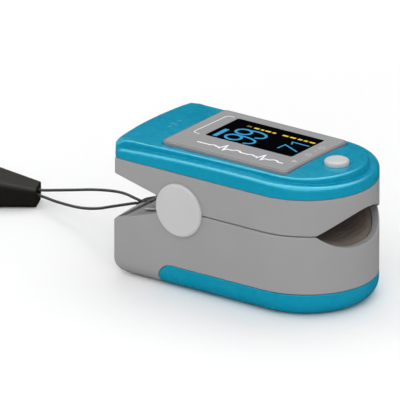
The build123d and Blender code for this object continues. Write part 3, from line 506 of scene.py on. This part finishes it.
blue_abs = moulded("blue_abs", srgb(0, 142, 173), rough=0.24, grain=7.0, depth=0.0011,
                   edge_gain=1.5, edge_mm=0.3, cloud=0.018, tint=(0.4, 0.95, 1.0, 1.0))
grey_abs = moulded("grey_abs", srgb(152, 151, 152), rough=0.5, grain=9.0, depth=0.006,
                   edge_gain=1.06, edge_mm=0.3, spec=0.25, cloud=0.02)
white_abs = moulded("white_abs", srgb(190, 190, 190), rough=0.5, grain=8.0, depth=0.005,
                    edge_gain=1.08, edge_mm=0.3, spec=0.3, cloud=0.015)
button_white = moulded("button_white", srgb(192, 191, 191), rough=0.4, grain=6.0, depth=0.003,
                       edge_gain=1.08, edge_mm=0.3, spec=0.3, cloud=0.015)
tray_black = moulded("tray_black", srgb(40, 40, 42), rough=0.5, grain=8.0, depth=0.008,
                     edge_gain=1.5)
chip_epoxy = moulded("chip_epoxy", srgb(34, 34, 36), rough=0.55, grain=14.0, depth=0.006,
                     edge_gain=1.4)
foam_black = moulded("foam_black", srgb(26, 26, 27), rough=0.9, grain=16.0, depth=0.03,
                     edge_gain=1.3, spec=0.2)
plate_print = plate_material()
window_smoke = window_material()
display_blue = lit_material("display_blue", srgb(26, 156, 212), power=1.0)
display_yellow = lit_material("display_yellow", srgb(238, 208, 70), power=1.0)
display_dim = lit_material("display_yellow_dim", srgb(150, 128, 60), power=0.7)
ink_white = print_and_shade_material("ink_white", srgb(246, 246, 246))
ink_soft = print_and_shade_material("ink_soft", srgb(176, 176, 177))
# painted shade for the dark line round the face plate's edge
painted_edge_shade = print_and_shade_material("painted_edge_shade", srgb(64, 58, 58))
tick_blue = print_and_shade_material("tick_pale_blue", srgb(92, 178, 200), under=srgb(20, 140, 168))
pad_rubber = rubber_material()
steel = metal_material("steel", srgb(176, 176, 180))
nickel = metal_material("nickel", srgb(196, 192, 184), rough=0.2)
cell_wrap = cell_material()
circuit_board = board_material()
clear_lens = lens_material()
cord_black = cord_material()
flex_amber = flex_material()
ferrule_black = moulded("ferrule_black", srgb(26, 24, 21), rough=0.5, grain=5.0, depth=0.006,
                        edge_gain=2.2, edge_mm=0.3, spec=0.1, cloud=0.08)
oled_glass = moulded("oled_glass", srgb(16, 16, 20), rough=0.12, grain=3.0, depth=0.001,
                     edge_gain=1.4)


# ------------------------------------------------------------------ carried-over CAD nodes
def finish_node(name, material):
    """A carried-over CAD node keeps its mesh and takes one of the materials here."""
    part = NODES[name]
    part.data.materials.clear()
    part.data.materials.append(material)
    for polygon in part.data.polygons:
        polygon.material_index = 0


for names, material in (
    (("lower_shell", "upper_shell"), grey_abs),
    (("top_cover", "battery_cover"), blue_abs),
    (("hinge_cap_left", "hinge_cap_right"), white_abs),
    (("power_button",), button_white),
    (("face_plate",), plate_print),
    (("display_window",), window_smoke),
    (("battery_tray",), tray_black),
    (("photodiode", "led_emitter", "board_chips", "switch_body", "switch_plunger"), chip_epoxy),
    (("display_gasket",), foam_black),
    (("main_board", "emitter_board", "detector_board"), circuit_board),
    (("detector_window", "emitter_window"), clear_lens),
    (("hinge_pin", "upper_screws", "lower_screws"), steel),
    (("battery_springs", "battery_plates"), nickel),
    (("battery_a", "battery_b"), cell_wrap),
    (("lanyard_ferrule",), ferrule_black),
    (("oled_display",), oled_glass),
):
    for name in names:
        finish_node(name, material)

# ------------------------------------------------------------------ finger pads
pad_low, pad_high = box_mm("lower_pad")
PAD_R = (pad_high[1] - pad_low[1]) / 2      # nose radius of both pads, and half their width
NOSE_X = pad_high[0] - PAD_R                # centre of the nose arc
PAD_COLUMNS = 96                            # cells across a pad
STATION_STEP = 0.30                         # spacing of the rows along X
LENS_GAP = 0.1                              # clearance round the lens
STOP_X = 1.7                                # rear stop's place from the rear end
STOP_FOOT, STOP_RISE = 2.4, 4.5             # length of its rounded foot, and its height
RIB_PITCH, RIB_RISE = 1.5, 0.10
RIM_RISE, RIM_OUT, RIM_SPREAD = 0.22, 0.55, 0.42    # rim's height, distance from lens, width
LIP_DROP, LIP_SPREAD = 0.32, 0.7
LAND_BLEND = 0.7                            # rounding between channel and land

# Finger channel across each pad: distance from the centre line, height
LOWER_CHANNEL = [(0, 15.5), (2.7, 15.56), (5.35, 15.86), (7.4, 16.45), (9.0, 17.25),
                 (10.3, 18.3), (11.1, 19.3)]
UPPER_CHANNEL = [(0, 22.9), (2.9, 22.62), (5.8, 21.75), (8.2, 20.6), (10.0, 19.55), (11.2, 18.7)]


def half_width(x):
    if x <= NOSE_X:
        return PAD_R
    return math.sqrt(max(0.0, PAD_R**2 - (x - NOSE_X) ** 2))


def channel_curve(stations):
    """Smooth height across the channel; None beyond the last station."""
    ys, zs = np.array(stations, float).T
    slopes = np.gradient(zs, ys)
    slopes[0] = 0.0

    def height(y):
        out = abs(y)
        if out >= ys[-1]:
            return None
        i = min(int(np.searchsorted(ys, out, side="right") - 1), len(ys) - 2)
        gap = ys[i + 1] - ys[i]
        t = (out - ys[i]) / gap
        return ((2 * t**3 - 3 * t**2 + 1) * zs[i] + (t**3 - 2 * t**2 + t) * gap * slopes[i]
                + (-2 * t**3 + 3 * t**2) * zs[i + 1] + (t**3 - t**2) * gap * slopes[i + 1])

    return height


def smooth_max(a, b, blend):
    near = max(blend - abs(a - b), 0.0) / blend
    return max(a, b) + near * near * blend * 0.25


def build_pad(name, node, lens_node, channel, lower):
    """Finger pad as a moulded solid: channel, rear stop, ribs, raised rim round the lens."""
    low, high = box_mm(node)
    land = high[2] if lower else low[2]     # the flat that meets the other pad
    back = low[2] if lower else high[2]     # the face on the deck
    sign = 1.0 if lower else -1.0           # direction from the back towards the other pad
    lens_low, lens_high = box_mm(lens_node)
    lens_x0, lens_x1 = lens_low[0] - LENS_GAP, lens_high[0] + LENS_GAP
    lens_y = lens_high[1] + LENS_GAP
    stop = low[0] + STOP_X
    curve = channel_curve(channel)

    def height(x, y):
        z = curve(y)
        if z is None:
            z = land + sign * 2.0
        # the channel closes slightly towards the stop
        z = z + sign * 0.5 * clamp01((8.0 - x) / 14.0) ** 2
        z = z + sign * STOP_RISE * clamp01((stop + STOP_FOOT - x) / STOP_FOOT) ** 2.2
        # lip rolled outwards at the mouth
        edge_gap = PAD_R - math.hypot(max(0.0, x - NOSE_X), y)
        if x > NOSE_X:
            z -= sign * LIP_DROP * math.exp(-((edge_gap / LIP_SPREAD) ** 2))
        # grip ribs across the channel, fading at the sides and left out round the lens
        near_lens = (lens_x0 - 1.6 < x < lens_x1 + 1.6) and abs(y) < lens_y + 1.6
        if not near_lens and x > stop + 2.2 and edge_gap > 1.2:
            crest = (0.5 + 0.5 * math.cos(2 * math.pi * x / RIB_PITCH)) ** 2
            z += sign * RIB_RISE * clamp01((9.2 - abs(y)) / 2.5) * crest
        # raised rim round the lens
        lens_gap = math.hypot(max(lens_x0 - x, x - lens_x1, 0.0), max(abs(y) - lens_y, 0.0))
        z += sign * RIM_RISE * math.exp(-(((lens_gap - RIM_OUT) / RIM_SPREAD) ** 2))
        # flats where the two pads meet
        if sign * (z - land) > 0:
            return land
        return -sign * smooth_max(-sign * z, -sign * land, LAND_BLEND)

    # rows along X, with extra ones at the lens opening and the nose tip
    xs = list(np.arange(low[0], high[0] - 0.2, STATION_STEP))
    xs += [lens_x0, lens_x1, lens_x0 - 0.35, lens_x1 + 0.35]
    xs += [high[0] - 0.15, high[0] - 0.05, high[0] - 0.012]
    xs = np.array(sorted(set(round(float(x), 4) for x in xs)))
    xs = xs[np.r_[True, np.diff(xs) > 0.04]]
    rows = []
    for x in xs:
        half = half_width(min(x, high[0] - 0.01))
        ys = np.linspace(-1, 1, PAD_COLUMNS + 1) * half
        # pull the nearest columns onto the lens opening's edges
        if abs(x - 0.5 * (lens_x0 + lens_x1)) < 6.0 and half > lens_y + 1:
            for side in (-lens_y, lens_y):
                ys[int(np.argmin(abs(ys - side)))] = side
        rows.append(ys)

    # the channel face first, then the same grid on the back
    verts = [(x, y, height(x, y)) for x, row in zip(xs, rows) for y in row]
    under = len(verts)
    verts += [(x, y, back) for x, row in zip(xs, rows) for y in row]
    faces = []
    last, across = len(xs) - 1, PAD_COLUMNS + 1

    def quad(a, b, c, d):
        faces.append((a, b, c, d) if lower else (d, c, b, a))

    def wall(a, b):
        quad(a, under + a, under + b, b)

    hole = np.zeros((last, PAD_COLUMNS), bool)
    for i in range(last):
        for j in range(PAD_COLUMNS):
            mid_x = 0.5 * (xs[i] + xs[i + 1])
            mid_y = 0.25 * (rows[i][j] + rows[i][j + 1] + rows[i + 1][j] + rows[i + 1][j + 1])
            hole[i, j] = lens_x0 < mid_x < lens_x1 and abs(mid_y) < lens_y
    for i in range(last):
        for j in range(PAD_COLUMNS):
            if hole[i, j]:
                continue
            a, b = i * across + j, (i + 1) * across + j
            c, d = b + 1, a + 1
            quad(a, b, c, d)
            quad(under + d, under + c, under + b, under + a)
            # walls of the lens opening
            if i + 1 < last and hole[i + 1, j]:
                wall(b, c)
            if i > 0 and hole[i - 1, j]:
                wall(d, a)
            if j + 1 < PAD_COLUMNS and hole[i, j + 1]:
                wall(c, d)
            if j > 0 and hole[i, j - 1]:
                wall(a, b)
    # outer walls: both sides, then both ends
    for i in range(last):
        a, b = i * across, (i + 1) * across
        wall(a, b)
        wall(b + PAD_COLUMNS, a + PAD_COLUMNS)
    for j in range(PAD_COLUMNS):
        wall(j + 1, j)
        wall(last * across + j, last * across + j + 1)
    pad = add_mesh(name, verts, faces, sharp=50)
    dress(pad, pad_rubber)
    return pad


lower_pad = build_pad("lower_pad_rubber", "lower_pad", "detector_window", LOWER_CHANNEL, lower=True)
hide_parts("lower_pad")
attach(lower_pad, "lower_half")
upper_pad = build_pad("upper_pad_rubber", "upper_pad", "emitter_window", UPPER_CHANNEL, lower=False)
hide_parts("upper_pad")
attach(upper_pad, "upper_half")


# ------------------------------------------------------------------ marks that lie on a surface
def left_of(direction):
    return np.array([-direction[1], direction[0]])


class Marks:
    """Thin raised strokes that follow the top of one CAD node.

    rise is how far they stand proud of the surface, sink how far they reach into it.
    """

    def __init__(self, node, rise, sink):
        mesh = NODES[node].data
        self.tree = BVHTree.FromPolygons([v.co.copy() for v in mesh.vertices],
                                         [tuple(p.vertices) for p in mesh.polygons])
        self.rise, self.sink = rise, sink
        self.soup = Soup()

    def add_pair(self, verts, point):
        """Adds a point above and below the surface; off its edge the last height holds."""
        x, y = point[0], point[1]
        hit = self.tree.ray_cast(Vector((x * MM, y * MM, 0.06)), Vector((0, 0, -1)))[0]
        if hit is not None:
            self.last = hit.z / MM
        verts.append((x, y, self.last + self.rise))
        verts.append((x, y, self.last - self.sink))
        return len(verts) - 2

    def stroke(self, points, width, closed=False, step=0.35, round_ends=True):
        points = [np.array(p, float) for p in points]
        if closed:
            points = points + [points[0]]
        fine = []
        for a, b in zip(points[:-1], points[1:]):
            count = max(1, int(math.ceil(np.linalg.norm(b - a) / step)))
            for t in np.linspace(0, 1, count, endpoint=False):
                fine.append(a + (b - a) * t)
        if not closed:
            fine.append(points[-1])
        p = np.array(fine)
        count = len(p)
        left, right = [], []
        for i in range(count):
            before = p[(i - 1) % count] if (closed or i > 0) else p[i]
            after = p[(i + 1) % count] if (closed or i < count - 1) else p[i]
            d1, d2 = p[i] - before, after - p[i]
            l1, l2 = np.linalg.norm(d1), np.linalg.norm(d2)
            d1 = d1 / l1 if l1 > 1e-9 else d2 / max(l2, 1e-9)
            d2 = d2 / l2 if l2 > 1e-9 else d1
            along = d1 + d2
            normal = left_of(along / max(np.linalg.norm(along), 1e-9))
            # the mitre widens a corner, up to a limit
            mitre = 1.0 / max(0.55, float(np.dot(normal, left_of(d1))))
            left.append(p[i] + normal * width / 2 * mitre)
            right.append(p[i] - normal * width / 2 * mitre)

        def cap(tip, inner):
            out = tip - inner
            out /= np.linalg.norm(out)
            return [tip + width / 2 * (math.cos(a) * out + math.sin(a) * left_of(out))
                    for a in np.radians([54, 18, -18, -54])]

        start = end = None
        if not closed and round_ends:
            start, end = cap(p[0], p[1]), cap(p[-1], p[-2])
        self.strip(left, right, closed, start, end)

    def strip(self, left, right, closed, start, end):
        """Solid ribbon between two edges; start and end are cap points, or None if square."""
        verts, faces = [], []
        L = [self.add_pair(verts, q) for q in left]
        R = [self.add_pair(verts, q) for q in right]
        for i in range(len(L) if closed else len(L) - 1):
            k = (i + 1) % len(L)
            faces.append((L[i], R[i], R[k], L[k]))
            faces.append((L[k] + 1, R[k] + 1, R[i] + 1, L[i] + 1))
            faces.append((L[i], L[k], L[k] + 1, L[i] + 1))
            faces.append((R[k], R[i], R[i] + 1, R[k] + 1))
        if not closed:
            for ring, a, b in ((start, R[0], L[0]), (end, L[-1], R[-1])):
                if ring is None:
                    faces.append((a, b, b + 1, a + 1))
                    continue
                ids = [self.add_pair(verts, q) for q in ring]
                # the ring may run either way round; keep the one that starts near a
                first, final, corner = (np.array(verts[k][:2]) for k in (ids[0], ids[-1], a))
                if np.linalg.norm(first - corner) > np.linalg.norm(final - corner):
                    ids.reverse()
                chain = [a] + ids + [b]
                faces.append(tuple(reversed(chain)))
                faces.append(tuple(c + 1 for c in chain))
                for c, d in zip(chain[:-1], chain[1:]):
                    faces.append((c, d, d + 1, c + 1))
        self.soup.add(verts, faces)

    def fill(self, outline):
        """Filled convex outline as one thin plate."""
        verts = []
        top = [self.add_pair(verts, q) for q in outline]
        faces = [tuple(top), tuple(a + 1 for a in reversed(top))]
        for a, b in zip(top, top[1:] + top[:1]):
            faces.append((a, a + 1, b + 1, b))
        self.soup.add(verts, faces)

    def finish(self, name, material, slot):
        made = self.soup.add_mesh(name, sharp=None)
        bm = bmesh.new()
        bm.from_mesh(made.data)
        bmesh.ops.recalc_face_normals(bm, faces=bm.faces)
        bm.to_mesh(made.data)
        bm.free()
        dress(made, material)
        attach(made, "upper_half")


def arc(cx, cy, rx, ry, start, end, count):
    """Points on an ellipse, angles in degrees."""
    return [(cx + rx * math.cos(math.radians(a)), cy + ry * math.sin(math.radians(a)))
            for a in np.linspace(start, end, count)]


def smooth(points, step=0.22):
    """Flat smooth curve through points."""
    return catmull([(x, y, 0.0) for x, y in points], step)[0][:, :2]


# ------------------------------------------------------------------ display readings
# The wearer looks from the nose, so the readings stand with their tops to the rear.
# Points are x, y for a window whose rear edge is at x = -11.55.
READING_SHIFT = np.array([box_mm("display_window")[0][0] + 11.55, 0.0])

# Two large digits, each a ring with a tail: shift of the ring in y, points of the tail
DIGITS = (
    (0.0, [(-4.9, 0.62), (-3.6, 0.62), (-2.3, 0.46), (-1.0, 0.06), (-0.2, -0.6),
           (-0.08, -1.4), (-0.5, -2.15), (-1.75, -2.72)]),
    (3.88, [(-4.9, 4.5), (-3.4, 4.66), (-1.9, 4.5), (-0.7, 4.05), (0.02, 3.3),
            (0.08, 2.45), (-0.4, 1.8), (-1.5, 1.34)]),
)
# Plain dashes along the +Y side: start and end in x
DASHES = ((-5.3, -4.0), (-3.5, -2.7), (-2.3, -0.9), (-0.4, 0.5), (2.3, 3.8), (4.3, 5.8),
          (6.4, 7.5), (8.0, 9.0), (9.5, 10.9))
DASH_Y, DASH_WIDTH = 6.25, 0.6


def put(marks, points, width, closed=False, ends=True):
    marks.stroke([np.array(q) + READING_SHIFT for q in points], width, closed=closed, step=0.6,
                 round_ends=ends)


readings, unit_marks, unit_dim = (Marks("display_window", rise=0.018, sink=0.02) for _ in range(3))
for shift, tail in DIGITS:
    # thirty points, 12 degrees apart
    ring = arc(-5.76, -0.95 + shift, 1.88, 1.5, start=0, end=348, count=30)
    put(readings, ring, width=0.64, closed=True)
    put(readings, smooth(tail), width=0.58)
# bent strokes towards the nose, and a bar across the rear
put(readings, [(5.95, -0.69), (6.15, 1.85), (10.6, -0.2)], width=0.38)
put(readings, [(7.1, 2.9), (6.44, 4.1), (10.8, 4.05)], width=0.36)
put(readings, [(-9.66, -2.7), (-9.62, 2.2)], width=1.12, ends=False)
readings.finish("display_readings", display_blue, "window_black")

for x0, x1 in DASHES:
    put(unit_marks, [(x0, DASH_Y), (x1, DASH_Y)], DASH_WIDTH, ends=False)
put(unit_dim, [(-7.3, 6.4), (-6.1, 6.4)], DASH_WIDTH, ends=False)
unit_dim.finish("display_unit_dim", display_dim, "window_black")
unit_marks.finish("display_unit_marks", display_yellow, "window_black")

# ------------------------------------------------------------------ print on the face plate
plate_low, plate_high = box_mm("face_plate")
plate_x0, plate_y0 = plate_low[0], plate_low[1]
plate_x1, plate_y1 = plate_high[0], plate_high[1]

# Bracket behind the display, with short returns: x, y
BRACKET = [(-12.9, -3.75), (-14.0, -3.7), (-14.62, -3.0), (-14.58, 0.0), (-14.42, 5.0),
           (-14.34, 8.1), (-13.8, 8.9), (-12.6, 8.9)]
# Plain pulse trace along the -Y side: x, y from its start
TRACE = [(0, 0), (3.2, 0), (3.8, 0.35), (4.5, 0.35), (5.0, 0), (5.7, 0), (6.0, -0.5),
         (6.7, 2.0), (7.4, -1.1), (7.9, 0), (9.2, 0), (9.9, 0.6), (10.8, 0.6), (11.4, 0),
         (13.4, 0), (13.9, 0.35), (14.6, 0.35), (15.1, 0), (15.8, 0), (16.1, -0.5),
         (16.8, 2.0), (17.5, -1.1), (18.0, 0), (19.2, 0), (19.9, 0.6), (20.8, 0.6),
         (21.4, 0), (22.6, 0)]
trace_x, trace_y = plate_x0 + 7.0, plate_y0 + 3.95

white = Marks("face_plate", rise=0.015, sink=0.02)
white.stroke(smooth(BRACKET, step=0.3), width=0.2, step=0.6)
white.stroke([(trace_x + x, trace_y + y) for x, y in TRACE], width=0.42, step=1.0)
white.finish("plate_print_white", ink_white, "plate_grey")

# symbols in the strip between display and button
soft = Marks("face_plate", rise=0.015, sink=0.02)
strip_x = plate_x1 - 2.1
STANDBY_Y, STANDBY_R = -0.2, 0.62
HEART_Y = 4.9
# Half of the heart's outline from its point: x, y from its centre
HEART = [(0.75, 0), (-0.1, -0.78), (-0.55, -0.45), (-0.35, 0), (-0.55, 0.45), (-0.1, 0.78)]
soft.stroke(arc(strip_x, STANDBY_Y, STANDBY_R, STANDBY_R, start=215, end=505, count=14), width=0.22)
soft.stroke([(strip_x - 0.75, STANDBY_Y), (strip_x - 0.05, STANDBY_Y)], width=0.22)
soft.stroke([(strip_x + x, HEART_Y + y) for x, y in HEART], width=0.2, closed=True)
# pointer, then a short dash
soft.fill([(strip_x + 0.75, -5.3), (strip_x - 0.6, -4.55), (strip_x - 0.6, -6.05)])
soft.stroke([(strip_x - 0.1, 2.2), (strip_x - 0.1, 3.0)], width=0.2)
soft.finish("plate_print_soft", ink_soft, "plate_grey")

# dark painted shade line round the plate's border, standing in for the shade at the plate's edge
BORDER_INSET, BORDER_R = 0.26, 1.0
border_x0, border_x1 = plate_x0 + BORDER_INSET + BORDER_R, plate_x1 - BORDER_INSET - BORDER_R
border_y0, border_y1 = plate_y0 + BORDER_INSET + BORDER_R, plate_y1 - BORDER_INSET - BORDER_R
loop = []
for x, y, start in ((border_x1, border_y1, 0), (border_x0, border_y1, 90),
                    (border_x0, border_y0, 180), (border_x1, border_y0, 270)):
    loop += arc(x, y, BORDER_R, BORDER_R, start=start, end=start + 90, count=6)
border = Marks("face_plate", rise=0.012, sink=0.03)
border.stroke(loop, width=0.2, closed=True, step=0.8)
border.finish("plate_edge_shade_line", painted_edge_shade, "plate_grey")

# small raised ticks in a paler blue on the rear of the top cover, where a thumb presses
ticks = Marks("top_cover", rise=0.02, sink=0.05)
for x, y in ((-21.62, -2.78), (-22.0, -0.95), (-20.95, -1.3), (-21.84, 1.43)):
    ticks.stroke([(x - 0.3, y - 0.2), (x + 0.3, y + 0.2)], width=0.22, step=0.4)
ticks.finish("cover_thumb_ticks", tick_blue, "blue_shell")

# ------------------------------------------------------------------ lanyard
BAR_X, BAR_Y, BAR_Z = -28.2, -0.8, 11.35    # the crossbar, as the CAD has it
WRAP_R, WRAP_TURNS, WRAP_STEPS = 1.18, 2.0, 32
PLY_COUNT, PLY_R, PLY_OFFSET, PLY_PITCH = 3, 0.185, 0.165, 2.4

# The run that comes in above, and the one that leaves below: x, y, z
UPPER_RUN = [(-68.6, 9.0, 3.0), (-65.5, 9.0, 3.35), (-55.8, 6.0, 6.5), (-44.9, 2.2, 10.2),
             (-36.6, -0.4, 12.25), (-31.3, -2.0, 12.5)]
LOWER_RUN = [(-31.3, -3.1, 11.7), (-37.5, -1.6, 9.2), (-44.5, 1.5, 6.1), (-51.0, 3.9, 4.1),
             (-58.6, 6.3, 2.9), (-65.4, 8.1, 2.5), (-68.3, 8.0, 2.5)]
# The turns come back over themselves as a bight: x, y from the crossbar, z
BIGHT = [(-29.75, 1.9, 11.9), (-30.0, 0.9, 12.0), (-30.1, -0.6, 11.95), (-30.25, -1.7, 11.8)]

wrap = []
for i in range(WRAP_STEPS + 1):
    t = i / WRAP_STEPS
    angle = math.radians(150 - 360 * WRAP_TURNS * t)
    wrap.append((BAR_X + WRAP_R * math.cos(angle), BAR_Y - 1.0 + 3.9 * t,
                 BAR_Z + WRAP_R * math.sin(angle)))
bight = [(x, BAR_Y + y, z) for x, y, z in BIGHT]
cord_path, cord_length = catmull(UPPER_RUN + wrap + bight + LOWER_RUN, step=0.14)
normal, binormal = path_normals(cord_path)
plies = Soup()
for k in range(PLY_COUNT):
    phase = 2 * math.pi * (cord_length / PLY_PITCH + k / PLY_COUNT)
    offset = np.cos(phase)[:, None] * normal + np.sin(phase)[:, None] * binormal
    plies.add(*tube(cord_path + PLY_OFFSET * offset, PLY_R, sides=7))
cord = plies.add_mesh("lanyard_cord_twisted")
dress(cord, cord_black)
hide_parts("lanyard_cord", "lanyard_knot")
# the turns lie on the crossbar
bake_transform(cord)

# ------------------------------------------------------------------ torsion springs
pin_low, pin_high = box_mm("hinge_pin")
PIVOT_X, PIVOT_Z = 0.5 * (pin_low[0] + pin_high[0]), 0.5 * (pin_low[2] + pin_high[2])
COIL_R, COIL_TURNS, COIL_STEPS = 1.8, 4.5, 126      # 28 steps a turn
COIL_Y0, COIL_Y1 = 7.6, 10.6                # the coil's ends, from the middle of the clip
LEG = 13.0                                  # how far the legs reach to the rear
WIRE_R = 0.3
leg_x = PIVOT_X - LEG

for side, name in ((1, "left"), (-1, "right")):
    y0, y1 = side * COIL_Y0, side * COIL_Y1
    coil = []
    for i in range(COIL_STEPS + 1):
        t = i / COIL_STEPS
        angle = math.radians(90 - 360 * COIL_TURNS * t)
        coil.append((PIVOT_X + COIL_R * math.cos(angle), y0 + (y1 - y0) * t,
                     PIVOT_Z + COIL_R * math.sin(angle)))
    upper_leg = [(leg_x, y0, PIVOT_Z + 3.35), (leg_x + 6, y0, PIVOT_Z + 2.63),
                 (PIVOT_X - 1.2, y0, PIVOT_Z + 1.93)]
    lower_leg = [(PIVOT_X - 1.2, y1, PIVOT_Z - 1.95), (leg_x + 6, y1, PIVOT_Z - 3.18),
                 (leg_x, y1, PIVOT_Z - 4.45)]
    wire_path, _ = catmull(upper_leg + coil + lower_leg, step=0.22)
    spring = add_mesh("torsion_spring_%s_wire" % name, *tube(wire_path, WIRE_R, sides=12))
    dress(spring, steel)
    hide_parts("torsion_spring_" + name)
    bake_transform(spring)

# ------------------------------------------------------------------ ribbon cable
RIBBON_X, RIBBON_BOW, RIBBON_HALF = -6.1, 0.4, 0.1  # place, bow towards +X, half thickness
RIBBON_ROWS, RIBBON_COLUMNS = 60, 15


def build_ribbon():
    """Upright strip across Y, bowed between its flat ends."""
    low, high = box_mm("ribbon_cable")
    verts, faces = [], []
    for side in (-1, 1):
        for z in np.linspace(low[2], high[2], RIBBON_ROWS):
            t = (z - low[2]) / (high[2] - low[2])
            x = RIBBON_X + RIBBON_BOW * math.sin(math.pi * clamp01((t - 0.1) / 0.8)) ** 2
            for y in np.linspace(low[1], high[1], RIBBON_COLUMNS):
                verts.append((x + side * RIBBON_HALF, y, z))
    n = RIBBON_COLUMNS
    front = RIBBON_ROWS * n                 # first vertex of the +X face
    for i in range(RIBBON_ROWS - 1):
        for j in range(n - 1):
            a, b, c, d = i * n + j, i * n + j + 1, (i + 1) * n + j + 1, (i + 1) * n + j
            faces.append((d, c, b, a))
            faces.append((front + a, front + b, front + c, front + d))

    def wall(a, b):
        faces.append((a, b, front + b, front + a))

    def wall_flipped(a, b):
        faces.append((front + a, front + b, b, a))

    for i in range(RIBBON_ROWS - 1):
        a, b = i * n, (i + 1) * n
        wall_flipped(a, b)
        wall(a + n - 1, b + n - 1)
    top = (RIBBON_ROWS - 1) * n
    for j in range(n - 1):
        wall(j, j + 1)
        wall_flipped(top + j, top + j + 1)
    return add_mesh("ribbon_cable_flex", verts, faces, sharp=40)


ribbon = build_ribbon()
dress(ribbon, flex_amber)
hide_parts("ribbon_cable")
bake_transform(ribbon)


# ------------------------------------------------------------------ floor
def floor_material():
    m = Mat("floor_pale")
    drift = m.ramp(m.noise(scale=0.004))
    m.set(Base_Color=m.mix(drift, (0.965, 0.965, 0.965, 1), (0.98, 0.98, 0.98, 1)),
          Roughness=0.75, Specular_IOR_Level=0.1)
    # the studio sweep brightens to white with distance, so no horizon shows in low views
    distance = m.node("ShaderNodeVectorMath", operation="LENGTH")
    m.link(m.mm, distance.inputs[0])
    seen = m.node("ShaderNodeLightPath").outputs["Is Camera Ray"]
    glow = m.ramp(distance.outputs["Value"], span=(130, 900), to=(0.0, 0.42))
    m.set(Emission_Color=(1.0, 1.0, 1.0, 1.0), Emission_Strength=m.times(seen, glow))
    return m.material


FLOOR_HALF = 3000
floor = add_mesh("studio_floor", [(-FLOOR_HALF, -FLOOR_HALF, 0), (FLOOR_HALF, -FLOOR_HALF, 0),
                                  (FLOOR_HALF, FLOOR_HALF, 0), (-FLOOR_HALF, FLOOR_HALF, 0)],
                 [(0, 1, 2, 3)], sharp=None)
floor.data.materials.append(floor_material())
floor.visible_glossy = False


# ------------------------------------------------------------------ world
def build_world():
    """White to the camera, soft white light, and a bright overhead patch in reflections."""
    world = bpy.data.worlds.new("studio")
    scene.world = world
    world.use_nodes = True
    nodes, link = world.node_tree.nodes, world.node_tree.links.new
    nodes.clear()

    def white_background(strength):
        background = nodes.new("ShaderNodeBackground")
        background.inputs[0].default_value = (1.0, 1.0, 1.0, 1)
        background.inputs[1].default_value = strength
        return background.outputs[0]

    def choose(is_ray, otherwise, chosen):
        mix = nodes.new("ShaderNodeMixShader")
        for socket, value in zip(mix.inputs, (is_ray, otherwise, chosen)):
            link(value, socket)
        return mix.outputs[0]

    output = nodes.new("ShaderNodeOutputWorld")
    soft_light = white_background(strength=0.62)
    reflected = nodes.new("ShaderNodeBackground")
    coords = nodes.new("ShaderNodeTexCoord")
    split = nodes.new("ShaderNodeSeparateXYZ")
    link(coords.outputs["Generated"], split.inputs[0])
    # strength of the reflected sky, by the height of the direction
    overhead = nodes.new("ShaderNodeMapRange")
    overhead.interpolation_type = "SMOOTHSTEP"
    for key, value in (("From Min", 0.58), ("From Max", 0.84), ("To Min", 0.03), ("To Max", 9.0)):
        overhead.inputs[key].default_value = value
    link(split.outputs[2], overhead.inputs["Value"])
    link(overhead.outputs[0], reflected.inputs[1])
    rays = nodes.new("ShaderNodeLightPath").outputs
    lit = choose(rays["Is Glossy Ray"], soft_light, reflected.outputs[0])
    sky = white_background(strength=1.0)
    link(choose(rays["Is Camera Ray"], lit, sky), output.inputs[0])


build_world()

# ------------------------------------------------------------------ lights and camera, in metres
AIM = Vector((-0.0154, 0.0, 0.0151))


def add_aimed(name, data, location, view):
    """Places a light or camera that looks along view."""
    made = bpy.data.objects.new(name, data)
    made.location = location
    made.rotation_euler = view.to_track_quat("-Z", "Y").to_euler()
    scene.collection.objects.link(made)
    return made


# name, location, size, power in watts
for name, location, size, power in (
    ("key", (0.42, -0.62, 0.55), (0.8, 0.8), 3.2),
    ("fill", (-0.85, -0.35, 0.5), (0.8, 0.8), 1.6),
    ("back", (-0.1, 0.6, 1.1), (1.2, 0.8), 3.5),
):
    light = bpy.data.lights.new(name, "AREA")
    light.shape = "RECTANGLE"
    light.size, light.size_y = size
    light.energy = power
    add_aimed(name, light, location, AIM - Vector(location))

# the azimuth is turned from -Y towards +X
AZIMUTH, ELEVATION, DISTANCE = math.radians(35.96), math.radians(21.0), 3.232
camera = bpy.data.cameras.new("camera")
camera.sensor_width = 36.0
camera.lens = 1332.0
camera.clip_start = 0.05
camera.clip_end = 20.0
direction = Vector((math.sin(AZIMUTH) * math.cos(ELEVATION),
                    -math.cos(AZIMUTH) * math.cos(ELEVATION), math.sin(ELEVATION)))
scene.camera = add_aimed("camera", camera, AIM + direction * DISTANCE, -direction)

scene.view_settings.view_transform = "Standard"
scene.view_settings.look = "None"
scene.cycles.use_denoising = True
scene.cycles.max_bounces = 6
